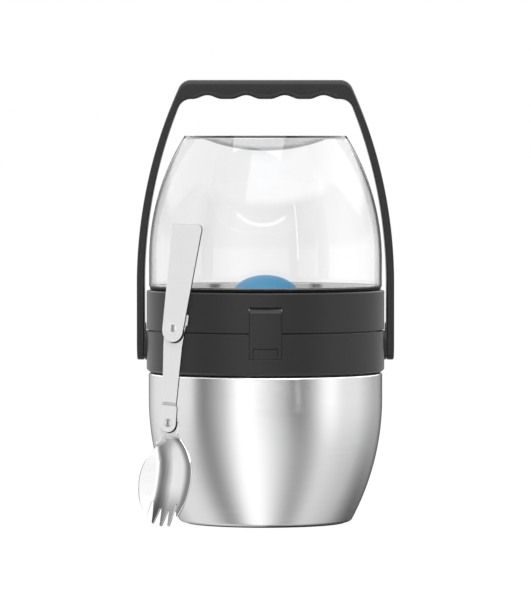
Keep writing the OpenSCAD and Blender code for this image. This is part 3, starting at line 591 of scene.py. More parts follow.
# %% Spork: flat plates
def plate(name, outline, back, tilt, start, thick=SHEET_T, painted_face_shade=0.0):
    """An outline on two planes joined by a wall, whose edges are rounded by 0.16 mm.
    The attribute "cut" is 1 on the wall, which is coloured dark as painted shade, and the last argument
    on both faces, a share of the same painted shade."""
    x, y = outline.T
    count = len(x)
    points = np.vstack([place_sheet(x, y, np.full(count, z), tilt, start)
                        for z in (back, back + thick)])
    turn = np.arange(count)
    after = np.roll(turn, -1)
    faces = [turn[::-1].tolist(), (turn + count).tolist()]
    faces += np.stack([turn, after, after + count, turn + count], -1).tolist()
    piece = make_mesh(name, points, faces)
    facing = np.array([face.normal for face in piece.data.polygons]) @ spork_out
    # Painted shade: the wall takes all of the dark colour, and both faces the share that the last
    # argument gives.
    cut = piece.data.attributes.new("cut", "FLOAT", "FACE")
    cut.data.foreach_set("value", np.where(np.abs(facing) < 0.5, 1.0, painted_face_shade))
    bevel = piece.modifiers.new("pressed edges", "BEVEL")
    bevel.width = min(0.16, thick / 3) * MM
    bevel.segments = 3
    bevel.angle_limit = math.radians(50)
    even_normals(piece)
    return piece


# %% Spork: the link, in three plates with a stepped bend between two of them
LINK_FOOT, LINK_WAIST, LINK_HEAD, EAR_W, EAR_H, CREASE_Y = 4.8, 4.1, 5.8, 7.9, 7.1, 9.8
foot = np.vstack([arc(0, 0, LINK_FOOT, 180, 360, 30),
                  [[LINK_FOOT, CREASE_Y - 1.6], [LINK_WAIST + 0.1, CREASE_Y - 0.7],
                   [-LINK_WAIST - 0.1, CREASE_Y - 0.7], [-LINK_FOOT, CREASE_Y - 1.6]]])
bend = np.array([[-LINK_WAIST, CREASE_Y - 0.7], [LINK_WAIST, CREASE_Y - 0.7],
                 [LINK_WAIST, CREASE_Y + 0.7], [-LINK_WAIST, CREASE_Y + 0.7]])
shank = np.array([[-LINK_WAIST - 0.1, CREASE_Y + 0.7], [LINK_WAIST + 0.1, CREASE_Y + 0.7],
                  [LINK_HEAD - 0.3, LINK_LENGTH - 9], [EAR_W - 1.0, LINK_LENGTH + 1.2],
                  [EAR_W, LINK_LENGTH + 1.8], [EAR_W + 0.4, LINK_LENGTH + EAR_H],
                  [-LINK_HEAD, LINK_LENGTH + EAR_H], [-LINK_HEAD, LINK_LENGTH - 9]])
link_foot = plate("spork_link_foot", foot, LAYER, LINK_TILT, (0, 0))
# Painted shade: the bend's faces take 0.3 of the dark colour, as a shaded crease.
link_bend = plate("spork_link_bend", bend, LAYER - 0.08, LINK_TILT, (0, 0), painted_face_shade=0.3)
link = plate("spork_link_sheet", shank, LAYER, LINK_TILT, (0, 0))

# %% Spork: the end piece, and black discs of painted shadow between the sheets
HEEL_R, HEEL_DROP, TIP_LEFT, TIP_RIGHT = 6.2, 1.3, (-9.6, 52.7), (8.3, 55.0)
end_outline = np.vstack([
    arc(0, -HEEL_DROP, HEEL_R, 180, 360, 40),
    round_corner((HEEL_R, -HEEL_DROP), TIP_RIGHT, TIP_LEFT, 2.4, 9),
    round_corner(TIP_RIGHT, TIP_LEFT, (-HEEL_R, -HEEL_DROP), 0.9, 7)])
end = plate("spork_end_sheet", end_outline, 2 * LAYER, END_TILT, link_top)

# Thin black discs between the sheets, round the rivets, are painted shadow: they darken the gaps where
# the sheets turn on each other.
SHADOW_DISC_T, FILM, LOWER_SHADOW_DISC_R, UPPER_SHADOW_DISC_R = 0.24, 0.03, 4.7, 6.1
lower_shadow_disc = plate("lower_shadow_disc", arc(0.4, -0.5, LOWER_SHADOW_DISC_R, 0, 354, 60),
                     SHEET_T + FILM, LINK_TILT, (0, 0), SHADOW_DISC_T)
upper_shadow_disc = plate("upper_shadow_disc", arc(0.5, -HEEL_DROP - 0.6, UPPER_SHADOW_DISC_R, 0, 354, 60),
                     LAYER + SHEET_T + FILM, END_TILT, link_top, SHADOW_DISC_T)
print("flat plates:", link_foot.name, link_bend.name, link.name, end.name)

# %% [markdown]
# The spork's bowl is pressed into the sheet. Its bottom is almost flat, and its
# flanks rise steeply from a soft bend. Five tines are cut at the tip. The outline
# is a smooth curve through chosen points, and the middle of the sheet is drawn
# as grids between its two sides. Solidify gives it the thickness of the sheet.

# %% Spork: outline of the bowl, from the tines up to the rivet
DROP, NECK_HALF = 32.9, 4.8
LEFT_SIDE = [(-16.0, -11.7), (-11.0, -14.7), (-3.4, -16.1), (1.8, -16.1), (7.0, -15.4),
             (13.5, -13.1), (17.0, -11.0), (20.7, -8.1), (22.8, -6.2), (25.5, -5.0),
             (29.0, -4.8), (DROP, -4.8)]
RIGHT_SIDE = [(-14.8, 8.0), (-12.0, 9.8), (-8.6, 11.8), (-5.2, 13.2), (-1.7, 14.3), (2.8, 15.2),
              (8.1, 15.4), (11.5, 15.1), (14.5, 14.2), (17.5, 12.6), (20.6, 10.4), (22.8, 8.5),
              (25.0, 6.4), (27.0, 5.3), (30.0, 4.8), (DROP, 4.8)]


def smooth_curve(table, at):
    """A smooth curve through a table of (y, x): cubic pieces, whose slope at each
    point is the slope between its neighbours."""
    y, x = np.asarray(table, float).T
    slope = np.gradient(x, y)
    i = np.clip(np.searchsorted(y, at) - 1, 0, len(y) - 2)
    step = y[i + 1] - y[i]
    t = (at - y[i]) / step
    return (x[i] * (1 + 2 * t) * (1 - t) ** 2 + slope[i] * step * t * (1 - t) ** 2
            + x[i + 1] * t * t * (3 - 2 * t) + slope[i + 1] * step * t * t * (t - 1))


# %% Spork: how deep the sheet is pressed
HOLLOW_TOP, HOLLOW_LOW = 28.2, -25.5

# How steep the sheet is across the bowl: (mm from the left rim to the right, degrees).
# The pressed depth at a place is the running sum of the slope.
SLOPE_ACROSS = [(-15.6, 26), (-7.9, 26), (-7.45, 22), (-6.95, 16), (-6.4, 9.5), (-5.9, 5),
                (-5.3, 1.5), (-4.7, 0), (-3.5, -2.2), (-1, -5.6), (1.5, -7.8), (2.8, -10),
                (4.2, -12), (5.5, -13), (6.9, -15), (8.3, -18), (9.6, -20), (11, -22),
                (13, -24), (17, -24)]
across_at = np.linspace(-15.6, 17, 327)
across_slope = np.tan(np.radians(np.interp(across_at, *np.transpose(SLOPE_ACROSS))))
steps_down = (across_slope[1:] + across_slope[:-1]) / 2 * np.diff(across_at)
across_depth = np.concatenate([[0], np.cumsum(steps_down)])
print("the spork's bowl is", round(float(across_depth.max()), 1), "mm deep")


def inside_hollow(x, y):
    """1 where the sheet is pressed and 0 on the flat neck and on the margin that a
    table gives, with a short soft step between them."""
    margin = np.interp(y, [19.5, 20.6, 22, 23.2, 26], [-20, -9.2, -6.7, -5.2, -4.6])
    return smooth_step((27.4 - y) / 2.4) * smooth_step((x - margin) / 2.0)


def middle_line(y):
    """How far right the hollow's middle line is, at each height of the bowl."""
    return np.interp(y, [-21, -14, -6, 0.4, 7, 12.6, 18, 26],
                     [-5.0, -3.1, -1.2, -0.5, 0, -0.2, -1.2, -1.5])


def hollow(x, y):
    """Height of the middle of the sheet: the depth across, less towards both ends. Its
    middle line bends a little to the left at both ends."""
    size = np.where(y > 2, 1 - ((y - 2).clip(0) / (HOLLOW_TOP - 2)) ** 3,
                    1 - (np.minimum(y - 2, 0) / (HOLLOW_LOW - 2)) ** 2.5)
    depth = np.sqrt(size.clip(0, 1)) * np.interp(x - middle_line(y), across_at, across_depth)
    return SHEET_T / 2 - depth * inside_hollow(x, y)


# %% Spork: tines, given by the two corners of each root and each tip
ACROSS = 16
TINES = [((-15.3, -8.6), (-9.4, -8.75), (-11.9, -16.0), (-11.6, -16.1)),
         ((-8.55, -8.7), (-4.2, -12.0), (-8.1, -19.8), (-7.3, -20.2)),
         ((-3.2, -12.0), (0.9, -12.5), (-2.9, -20.9), (-1.8, -20.9)),
         ((1.9, -12.5), (6.2, -8.9), (2.2, -20.3), (3.1, -20.4)),
         ((7.1, -8.8), (12.0, -8.2), (7.3, -14.8), (8.0, -14.8))]
share = np.linspace(0, 1, ACROSS)[:, None]
roots = np.vstack([np.array(a) + (np.array(b) - a) * share for a, b, *tips in TINES])
roots[0, 0], roots[-1, 0] = smooth_curve(LEFT_SIDE, roots[0, 1]), smooth_curve(RIGHT_SIDE, roots[-1, 1])
left, right = smooth_curve(LEFT_SIDE, roots[:, 1]), smooth_curve(RIGHT_SIDE, roots[:, 1])
fraction = (roots[:, 0] - left) / (right - left)
up = np.concatenate([np.linspace(0, 0.68, 56), np.linspace(0.684, 0.87, 40),
                     np.linspace(0.88, 1, 9)])[:, None]
body_y = roots[:, 1] + (DROP - roots[:, 1]) * up
left, right = smooth_curve(LEFT_SIDE, body_y), smooth_curve(RIGHT_SIDE, body_y)
body_x = left + (right - left) * fraction
body_x[0] = roots[:, 0]
grids = [(body_x, body_y)]
down = np.sin(np.linspace(0, math.pi / 2, 30))[:, None]
for i, (_, _, left_tip, right_tip) in enumerate(TINES):
    root = roots[i * ACROSS:(i + 1) * ACROSS]
    sides = [root[0] + (np.array(left_tip) - root[0]) * down,
             root[-1] + (np.array(right_tip) - root[-1]) * down]
    if i == 0:
        sides[0][:, 0] = smooth_curve(LEFT_SIDE, sides[0][:, 1])
    if i == len(TINES) - 1:
        sides[1][:, 0] = smooth_curve(RIGHT_SIDE, sides[1][:, 1])
    middle, half = (sides[0] + sides[1]) / 2, (sides[1] - sides[0]) / 2
    half = half * np.sqrt(np.clip(1 - ((down - 0.94) / 0.06).clip(0) ** 2, 0, 1))
    spread = np.linspace(-1, 1, ACROSS)[None, :, None]
    grid = middle[:, None] + half[:, None] * spread
    grid[0] = root
    grids.append((grid[..., 0], grid[..., 1]))
print("the spork's bowl has", sum(g[0].size for g in grids), "points")


# %% Spork: the bowl's mesh
def flat_place(points):
    """Turn points of the standing sheet back into the flat sheet's x and y."""
    u, v = ((points - spork_origin) @ np.stack([spork_right, spork_up], 1)).T
    c, s = math.cos(math.radians(SCOOP_TILT)), math.sin(math.radians(SCOOP_TILT))
    return u * c + v * s, v * c - u * s + DROP


def pressed_at(points):
    """How far points are inside the hollow."""
    return inside_hollow(*flat_place(points))


def painted_shade_at(points):
    """Painted shade: how much darker the right flank and the tines are coloured, as if they faced the
    bowl's own floor. The shade grows over the last 6 mm to the right rim, and over 15 mm down to the
    tips."""
    x, y = flat_place(points)
    flank = smooth_step((x - smooth_curve(RIGHT_SIDE, np.clip(y, -14.7, 32)) + 6.3) / 4.5)
    tips = 0.8 * smooth_step((1 - y) / 15) * smooth_step((x - middle_line(y) + 7.5) / 1.5)
    return np.maximum(flank, tips) * inside_hollow(x, y)


def make_scoop():
    """The sheet's middle as grids that share their edges, then its thickness. The
    neck ends in half a ring round the rivet. Where the sheet is pressed, it is also
    polished: the attribute says how much."""
    points, faces, first = [], [], 0
    angle, ring = np.radians(np.linspace(0, 180, 40)), np.linspace(1, 0.32, 6)[:, None]
    neck = (ring * NECK_HALF * np.cos(angle), DROP + ring * NECK_HALF * np.sin(angle))
    for x, y in grids + [neck]:
        height = hollow(x, y)
        points.append(place_sheet(x, y - DROP, height, SCOOP_TILT).reshape(-1, 3))
        faces += grid_faces(*x.shape, first=first)
        first += x.size
    piece = make_mesh("spork_bowl", np.vstack(points), faces)
    mark(piece, "polish", pressed_at)
    # Painted shade: how dark the bowl's right flank and tines are coloured.
    mark(piece, "shade", painted_shade_at)
    wall = piece.modifiers.new("sheet", "SOLIDIFY")
    wall.thickness = SHEET_T * MM
    wall.offset = 0
    wall.use_even_offset = True
    wall.material_offset_rim = 1
    even_normals(piece)
    return piece


scoop = make_scoop()
print(scoop.name, "has", len(scoop.data.polygons), "faces before its thickness")

# %% [markdown]
# ## The rivets
#
# Two small rivets join the spork's parts and let it fold. Each has a domed head
# in front, made by pressing the shank over, so it is a turned profile with its
# axis across the sheet.

# %% Rivets
RIVET_R, HEAD_R, TAIL_T, RIVET_TURNS = 1.5, 2.2, 0.2, 48


def rivet(name, up, back, front, head, dome_r=6.8):
    """A turned profile (r, t), with t along the sheet's outward direction: a shank
    between two heads, the front one domed."""
    brim = math.degrees(math.acos(HEAD_R / dome_r))
    dome = arc(0, front - dome_r + head, dome_r, 90, brim, 12)
    profile = np.vstack([dome, [[HEAD_R, front], [RIVET_R, front], [RIVET_R, back],
                                [HEAD_R, back], [HEAD_R, back - TAIL_T], [0, back - TAIL_T]]])
    a = np.linspace(0, 2 * math.pi, RIVET_TURNS, endpoint=False)
    r, t = profile.T
    c, s = math.cos(math.radians(LINK_TILT)), math.sin(math.radians(LINK_TILT))
    middle = spork_origin + up * (-s * spork_right + c * spork_up)
    grid = (middle + np.outer(r, np.cos(a))[..., None] * spork_right
            + np.outer(r, np.sin(a))[..., None] * spork_up
            + np.repeat(t[:, None], RIVET_TURNS, 1)[..., None] * spork_out)
    faces = grid_faces(len(r), RIVET_TURNS, close_columns=True)
    return make_mesh(name, grid.reshape(-1, 3), faces, 50)


lower_rivet = rivet("lower_rivet", 0, -0.05, LAYER + SHEET_T, 0.27)
upper_rivet = rivet("upper_rivet", LINK_LENGTH, LAYER, 2 * LAYER + SHEET_T, 0.4)
print(lower_rivet.name, "and", upper_rivet.name, "made")

# %% [markdown]
# ## Helpers for the finishes
#
# Colours are written as sRGB hex values, as a paint card gives them, and turned
# to the linear values that the shader works in. One function adds a node with its
# settings, and the one before it sets or links any node's inputs.

# %% Colours and nodes
def linear(hexed):
    """Each channel c becomes c / 12.92 below 0.04045, else ((c + 0.055) / 1.055)^2.4."""
    c = np.array([int(hexed[i:i + 2], 16) for i in (1, 3, 5)]) / 255
    return (*np.where(c <= 0.04045, c / 12.92, ((c + 0.055) / 1.055) ** 2.4), 1.0)


def join(tree, node, inputs):
    """Set a node's inputs, by name or in their order. Each is a number, a socket, or a
    node whose first working output is meant."""
    named = inputs if isinstance(inputs, dict) else dict(enumerate(inputs))
    for key, value in named.items():
        if isinstance(value, bpy.types.Node):
            value = next(socket for socket in value.outputs if socket.enabled)
        if isinstance(value, bpy.types.NodeSocket):
            tree.links.new(value, node.inputs[key])
        else:
            node.inputs[key].default_value = value


def add(tree, kind, inputs=(), **settings):
    """Add a node: settings are its properties, and its inputs are joined to it."""
    node = tree.nodes.new("ShaderNode" + kind)
    for key, value in settings.items():
        setattr(node, key, value)
    join(tree, node, inputs)
    return node


def set_stops(ramp, stops):
    """Give a colour ramp one stop for each (position, linear colour)."""
    elements = ramp.color_ramp.elements
    while len(elements) < len(stops):
        elements.new(0.5)
    for element, (position, _) in zip(elements, stops):
        element.position = position
    for element, (_, colour) in zip(elements, stops):
        element.color = colour


def new_finish(name, inputs):
    """A material with one Principled shader, and its tree and shader to build on."""
    material = bpy.data.materials.new(name)
    material.use_nodes = True
    tree = material.node_tree
    tree.nodes.clear()
    shader = add(tree, "BsdfPrincipled", inputs)
    add(tree, "OutputMaterial", {"Surface": shader})
    return material, tree, shader


def per_metre(x, y, z):
    """Scales for a pattern whose features are x, y and z millimetres long."""
    return tuple(1000 / side for side in (x, y, z))


# %% [markdown]
# ## Brushed stainless steel
#
# The body is AISI 304 sheet, brushed while it turned, so fine lines run round it.
# Across the lines the surface is rough and along them it is smooth, which draws
# each light out into an upright band. The shader calls that anisotropy. Real
# lines are some 0.05 mm apart; they are drawn 0.22 mm apart, so that they show.

# %% Brushed steel
brushed, tree, shader = new_finish("brushed stainless steel", {
    "Metallic": 1.0, "Roughness": 0.24, "Anisotropic": 0.75, "Anisotropic Rotation": 0.25})
spot = add(tree, "TexCoord").outputs["Object"]
lines_at = add(tree, "Mapping", {"Vector": spot, "Scale": per_metre(26, 26, 0.22)})
lines = add(tree, "TexNoise", {"Vector": lines_at, "Scale": 1.0, "Detail": 2.0})
tone = add(tree, "ValToRGB", [lines])
set_stops(tone, ((0.25, linear("#E9E9EA")), (0.75, linear("#F0F0F1"))))
join(tree, shader, {
    "Base Color": tone,
    "Roughness": add(tree, "MapRange", [lines, 0.3, 0.7, 0.22, 0.27]),
    "Normal": add(tree, "Bump", {"Height": lines, "Strength": 0.05, "Distance": 0.012 * MM}),
    "Tangent": add(tree, "Tangent", direction_type="RADIAL", axis="Z")})

# %% [markdown]
# ## The other finishes
#
# Each of these has one noise that changes its tone and its roughness a little,
# and a bump from the same noise, so that no surface is one flat colour. What
# differs is the base colour, the size of the grain and how far it goes, so one
# function makes them all from those numbers.

# %% One function for plain finishes
def grained(name, dark, light, rough, grain_mm, depth_mm, inputs=None, stretch=(1, 1, 1)):
    """A noise of the grain's size mixes two tones and two roughness values, and
    raises the surface by the grain's depth."""
    material, tree, shader = new_finish(name, inputs or {})
    spot = add(tree, "TexCoord").outputs["Object"]
    scale = per_metre(*(grain_mm * s for s in stretch))
    at = add(tree, "Mapping", {"Vector": spot, "Scale": scale})
    grain = add(tree, "TexNoise", {"Vector": at, "Scale": 1.0, "Detail": 3.0})
    tone = add(tree, "ValToRGB", [grain])
    set_stops(tone, ((0.35, linear(dark)), (0.65, linear(light))))
    join(tree, shader, {
        "Base Color": tone,
        "Roughness": add(tree, "MapRange", [grain, 0.3, 0.7, *rough]),
        "Normal": add(tree, "Bump", {"Height": grain, "Strength": 0.5, "Distance": depth_mm * MM})})
    return material


# %% [markdown]
# Polypropylene moulded in a finely textured tool is a satin near-black: the
# texture, about 0.2 mm across, breaks the shine up into a soft grey. The liner
# and the small metal parts are plain stainless steel, electropolished. The seals
# are a matte rubber and the vent is translucent silicone, smooth and a little
# waxy. The stopper's core is foamed plastic, whose cells are some 0.6 mm wide.

# %% Plain finishes
black_plastic = grained("satin moulded polypropylene", "#2C2B2B", "#302F2F", (0.36, 0.44), 0.25,
                        0.004, {"Specular IOR Level": 0.3, "Sheen Weight": 0.45,
                                "Sheen Roughness": 0.3})
plain_steel = grained("plain stainless steel", "#C6C6C7", "#D2D2D3", (0.26, 0.34), 1.2, 0.002,
                      {"Metallic": 1.0})
rubber = grained("matte black rubber", "#0C0C0D", "#101011", (0.55, 0.65), 0.4, 0.01,
                 {"Specular IOR Level": 0.2})
blue_silicone = grained("blue silicone", "#1E9BD2", "#249FD6", (0.40, 0.48), 1.5, 0.004,
                        {"Subsurface Weight": 0.15, "Subsurface Scale": 0.002,
                         "Specular IOR Level": 0.25})
# %% Plain finishes of the sealed pieces and of the spork
white_foam = grained("white foam", "#DCDAD2", "#EAE8E2", (0.85, 0.95), 0.6, 0.08)
glass_bead = grained("dark glass bead", "#19191B", "#232326", (0.05, 0.12), 0.8, 0.002)
satin_sheet = grained("satin stainless sheet", "#F3F3F3", "#F8F8F8", (0.46, 0.54), 0.5, 0.003,
                      {"Metallic": 0.35})
polished_sheet = grained("polished stainless sheet", "#EFEFEF", "#F5F5F5", (0.1, 0.14), 2.0,
                         0.0004, {"Metallic": 1.0})
spork_sheet = grained("pressed stainless sheet", "#ECECEC", "#F2F2F2", (0.46, 0.54), 0.5,
                      0.001, {"Metallic": 0.35})

# %% Sheet that is polished where pressed, and darkened with painted shade on the bowl's flank and on cut walls
def recolour(material, attribute, colour):
    """Where the attribute is 1 the colour takes the place of the sheet's own tone."""
    tree = material.node_tree
    shader = tree.nodes["Principled BSDF"]
    own = shader.inputs["Base Color"].links[0].from_socket
    amount = add(tree, "Attribute", attribute_name=attribute).outputs["Fac"]
    mixed = add(tree, "Mix", {0: amount, 6: own, 7: linear(colour)}, data_type="RGBA")
    join(tree, shader, {"Base Color": mixed})


# Painted shade: the bowl's right flank and tines are darkened towards #8A8A8B.
recolour(spork_sheet, "shade", "#8A8A8B")
# Painted shade: the plates' walls, and the bend strip's faces in part, are darkened towards #1A1A1B.
recolour(satin_sheet, "cut", "#1A1A1B")

tree = spork_sheet.node_tree
shader = tree.nodes["Principled BSDF"]
polish = add(tree, "Attribute", attribute_name="polish").outputs["Fac"]
satin = shader.inputs["Roughness"].links[0].from_socket
join(tree, shader, {"Roughness": add(tree, "Mix", {0: polish, 2: satin, 3: 0.12}),
                    "Metallic": add(tree, "MapRange", [polish, 0, 1, 0.35, 1.0])})
print("sheets with attributes:", spork_sheet.name, satin_sheet.name)

# %% [markdown]
# ## Clear plastic
#
# The bowl is a clear copolyester. Light goes straight into it and bends, by a
# refractive index of 1.54. A moulding is never perfectly even, so a very weak,
# wide bump bends the reflections a little. Light that only passes through on its
# way to what lies inside would be lost in such a shader, so for the rays that
# carry it the wall is simply transparent. The plug mirrors more than the wall, and
# the thick base is painted greyer as shade, so an attribute marks each. The wall's
# colour also carries a painted shade, a little darker on the left than the right.

# %% Clear plastic
clear, tree, shader = new_finish("clear copolyester", {
    "Transmission Weight": 1.0, "IOR": 1.54})
spot = add(tree, "TexCoord").outputs["Object"]
flow_at = add(tree, "Mapping", {"Vector": spot, "Scale": per_metre(30, 30, 45)})
flow = add(tree, "TexNoise", {"Vector": flow_at, "Scale": 1.0, "Detail": 1.0})
haze = add(tree, "MapRange", [flow, 0.3, 0.7, 0.0, 0.012])
plug = add(tree, "Attribute", attribute_name="plug").outputs["Fac"]
base = add(tree, "Attribute", attribute_name="base").outputs["Fac"]

# Painted shade across the wall, from the left side to the right: a little greyer on the left and white
# on the right, as if the light came from the right.
PAINTED_SIDE_SHADE = ((0.27, "#F7F7F7"), (0.35, "#F9F9F9"), (0.56, "#F8F8F8"), (0.70, "#F7F7F7"),
         (0.78, "#FCFCFC"), (0.84, "#FFFFFF"))
across = add(tree, "SeparateXYZ", [spot]).outputs[0]
side = add(tree, "MapRange", [across, -60 * MM, 60 * MM, 0, 1])
side_shade_ramp = add(tree, "ValToRGB", [side])
set_stops(side_shade_ramp, [(position, linear(colour)) for position, colour in PAINTED_SIDE_SHADE])
# Painted shade: where the dish is marked, its colour is greyed towards #DADADA.
join(tree, shader, {
    "Base Color": add(tree, "Mix", {0: base, 6: side_shade_ramp, 7: linear("#DADADA")}, data_type="RGBA"),
    "Metallic": add(tree, "MapRange", [plug, 0, 1, 0.0, 0.5]),
    "Roughness": add(tree, "MapRange", [plug, 0, 1, haze, 0.15]),
    "Normal": add(tree, "Bump", {"Height": flow, "Strength": 0.3, "Distance": 0.05 * MM})})
rays = add(tree, "LightPath")
passing = add(tree, "Math", [rays.outputs["Is Shadow Ray"], rays.outputs["Is Diffuse Ray"]],
              operation="MAXIMUM")
bare = add(tree, "BsdfTransparent", {"Color": linear("#F9F9F9")})
join(tree, tree.nodes["Material Output"],
     {"Surface": add(tree, "MixShader", [passing, shader, bare])})
print(clear.name, "has", len(tree.nodes), "nodes")

# %% [markdown]
# ## Dress every piece
#
# Each new piece rides on the body that its solid belongs to, hides that solid and
# takes the finish listed for its slot. The solids that stay visible get their
# finish in their own material slot. The handle and the spork stay out of
# reflections, where they would draw dark stripes on the bowl and the steel.

# %% New pieces: body, the solids they stand for, slot and finish
dressed = [
    (steel_body, "jar", ["outer_shell"], "brushed_steel", brushed),
    (collar, "jar", ["collar"], "black_plastic", black_plastic),
    (seam_lip, "jar", ["collar"], "black_plastic", black_plastic),
    (lid_ring, "lid", ["lid_ring"], "black_plastic", black_plastic),
    (seat, "lid", ["bowl_seat"], "black_rubber", rubber),
    (latch, "latch", ["latch"], "black_plastic", black_plastic),
    (vent, "vent", ["vent_dome"], "blue_silicone", blue_silicone),
    (clear_bowl, "bowl", ["clear_bowl"], "clear_plastic", clear),
    (handle, "handle", ["handle"], "black_plastic", black_plastic),
    (scoop, "spork_scoop", ["spork_scoop"], "spork_steel", spork_sheet),
    (link_foot, "spork_link", ["spork_link"], "spork_steel", satin_sheet),
    (link_bend, "spork_link", ["spork_link"], "spork_steel", satin_sheet),
    (link, "spork_link", ["spork_link"], "spork_steel", satin_sheet),
    # Painted shadow: the black discs between the spork's sheets.
    (lower_shadow_disc, "spork_link", ["spork_link"], "black_plastic", black_plastic),
    (upper_shadow_disc, "spork_end", ["spork_end"], "black_plastic", black_plastic),
    (end, "spork_end", ["spork_end"], "spork_steel", satin_sheet),
    (lower_rivet, "spork_link", ["spork_rivet_lower"], "spork_steel", polished_sheet),
    (upper_rivet, "spork_link", ["spork_rivet_upper"], "spork_steel", polished_sheet),
]
for piece, body, solids, slot, finish in dressed:
    piece.data.materials.clear()
    piece.data.materials.append(finish)
    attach(piece, body)
    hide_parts(*solids)
    piece.visible_glossy = body not in ("handle", "spork_scoop", "spork_link", "spork_end")
# Solidify gives the rim of the spork's bowl this second finish.
scoop.data.materials.append(polished_sheet)
print(len(dressed), "new pieces")

# %% Solids that stay: one finish for each slot
finish_of = {"plain_steel": plain_steel, "black_plastic": black_plastic, "black_rubber": rubber,
             "blue_silicone": blue_silicone, "white_foam": white_foam, "seal_glass": glass_bead,
             "brushed_steel": brushed, "clear_plastic": clear, "spork_steel": satin_sheet}
for name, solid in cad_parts.items():
    for holder in solid.material_slots:
        holder.material = finish_of[holder.material.name.split(".")[0]]
print("finishes on", len(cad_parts), "solids")

# %% [markdown]
# ## The studio
#
# The jar stands on a pale floor before a white background. A steel body shows
# little of itself: it shows what is around it. So the studio's walls matter: two
# bright tall panels, left of the camera and to its right, with darker gaps
# between them and pale walls behind. They are painted on the world as bands of
# brightness round the jar, and only reflections see them. To the camera, and
# through the clear bowl, the background is plain white.

# %% Studio walls: (direction, brightness), in degrees from the camera to the right
BELOW = [(-180, 0.30), (-145, 0.60), (-126, 0.85), (-112, 0.85), (-91, 0.80), (-82, 0.62),
         (-73, 0.42), (-65, 0.28), (-58, 0.28), (-50, 0.45), (-43, 0.66), (-36, 0.94),
         (-29, 1.18), (-22, 1.28), (-10, 1.26), (-2, 1.16), (5, 1.01), (12, 0.87),
         (18, 0.73), (25, 0.59), (32, 0.46), (39, 0.40), (46, 0.46), (54, 0.60), (61, 0.75),
         (69, 0.78), (78, 0.73), (96, 0.62), (107, 0.54), (119, 0.32), (134, 0.16), (156, 0.05)]
LEVEL = [(-180, 0.02), (-170, 0.08), (-160, 0.52), (-139, 0.86), (-113, 0.86), (-79, 0.95),
         (-71, 0.34), (-64, 0.18), (-57, 0.32), (-44, 0.58), (-37, 0.82),
         (-31, 1.12), (-24, 1.30), (-16, 1.25), (-7, 0.96), (7, 0.67), (16, 0.47),
         (22, 0.34), (28, 0.07), (34, 0.03), (41, 0.32), (47, 0.49), (53, 0.80), (60, 1.15),
         (67, 1.30), (74, 1.17), (82, 0.95), (104, 0.91), (119, 0.67), (132, 0.52), (149, 0.44),
         (168, 0.06)]
ABOVE = [(-180, 2.00), (-140, 2.00), (-100, 1.80), (-75, 1.60), (-40, 1.50), (-24, 1.80),
         (-21, 3.80), (70, 3.80), (74, 2.80), (110, 2.40), (140, 2.00), (180, 2.00)]
BRIGHTEST = 4.0

world = bpy.data.worlds.new("studio")
bpy.context.scene.world = world
world.use_nodes = True
tree = world.node_tree
tree.nodes.clear()


way = add(tree, "SeparateXYZ", [add(tree, "TexCoord").outputs["Generated"]])
front = add(tree, "Math", [way.outputs[1], -1.0], operation="MULTIPLY")
turn = add(tree, "Math", [way.outputs[0], front], operation="ARCTAN2")
bearing = add(tree, "Math", [turn], operation="DEGREES")
climb = add(tree, "Math", [way.outputs[2]], operation="ARCSINE")
height = add(tree, "Math", [climb], operation="DEGREES")


# %% Walls: three rings of brightness, one above the other
SOFT = {"interpolation_type": "SMOOTHSTEP"}
FLOOR_TO_LEVEL, LEVEL_TO_ABOVE, ABOVE_TO_OVERHEAD = (-22, -3), (25, 31), (47, 60)
# Towards the back the upper ring comes lower, by up to LIFT degrees.
LIFT_FROM, LIFT, OVERHEAD = (82, 118), 16, 0.25


def walls(table):
    """A ramp round the jar, from behind it over the left and the camera to behind it."""
    ramp = add(tree, "ValToRGB", [add(tree, "MapRange", [bearing, -180, 180, 0, 1])])
    set_stops(ramp, [(degrees / 360 + 0.5, (*[bright / BRIGHTEST] * 3, 1))
                     for degrees, bright in table])
    return ramp


lower_share = add(tree, "MapRange", [height, *FLOOR_TO_LEVEL, 0, 1], **SOFT)
lower = add(tree, "Mix", {0: lower_share, 6: walls(BELOW), 7: walls(LEVEL)}, data_type="RGBA")
off_camera = add(tree, "Math", [bearing], operation="ABSOLUTE")
lift = add(tree, "MapRange", [off_camera, *LIFT_FROM, 0, LIFT], **SOFT)
lifted = add(tree, "Math", [height, lift], operation="ADD")
upper_share = add(tree, "MapRange", [lifted, *LEVEL_TO_ABOVE, 0, 1], **SOFT)
sides = add(tree, "Mix", {0: upper_share, 6: lower, 7: walls(ABOVE)}, data_type="RGBA")
top_share = add(tree, "MapRange", [height, *ABOVE_TO_OVERHEAD, 0, 1], **SOFT)
room = add(tree, "Mix", {0: top_share, 6: sides, 7: (*[OVERHEAD] * 3, 1)}, data_type="RGBA")

# %% Two thin strip lights: a low arc in front and an upright one at the right
ARC_MIDDLE, ARC_BEND, ARC_LOW, ARC_FADE_AT, ARC_FADE = 3.0, 0.0065, 17.0, 5.0, (24, 28)
POST_AT, POST_FOOT, POST_HEAD = 32.0, (-2, 2), (24, 30)
ARC_EDGE, POST_EDGE = (0.5, 1.2), (0.4, 1.0)
from_middle = add(tree, "Math", [bearing, ARC_MIDDLE], operation="ADD")
square = add(tree, "Math", [from_middle, 2.0], operation="POWER")
arc_rise = add(tree, "Math", [square, ARC_BEND], operation="MULTIPLY")
above_arc = add(tree, "Math", [height, arc_rise], operation="SUBTRACT")
above_low = add(tree, "Math", [above_arc, ARC_LOW], operation="SUBTRACT")
off_arc = add(tree, "Math", [above_low], operation="ABSOLUTE")
along_arc = add(tree, "Math", [bearing, ARC_FADE_AT], operation="ADD")
arc_reach = add(tree, "Math", [along_arc], operation="ABSOLUTE")
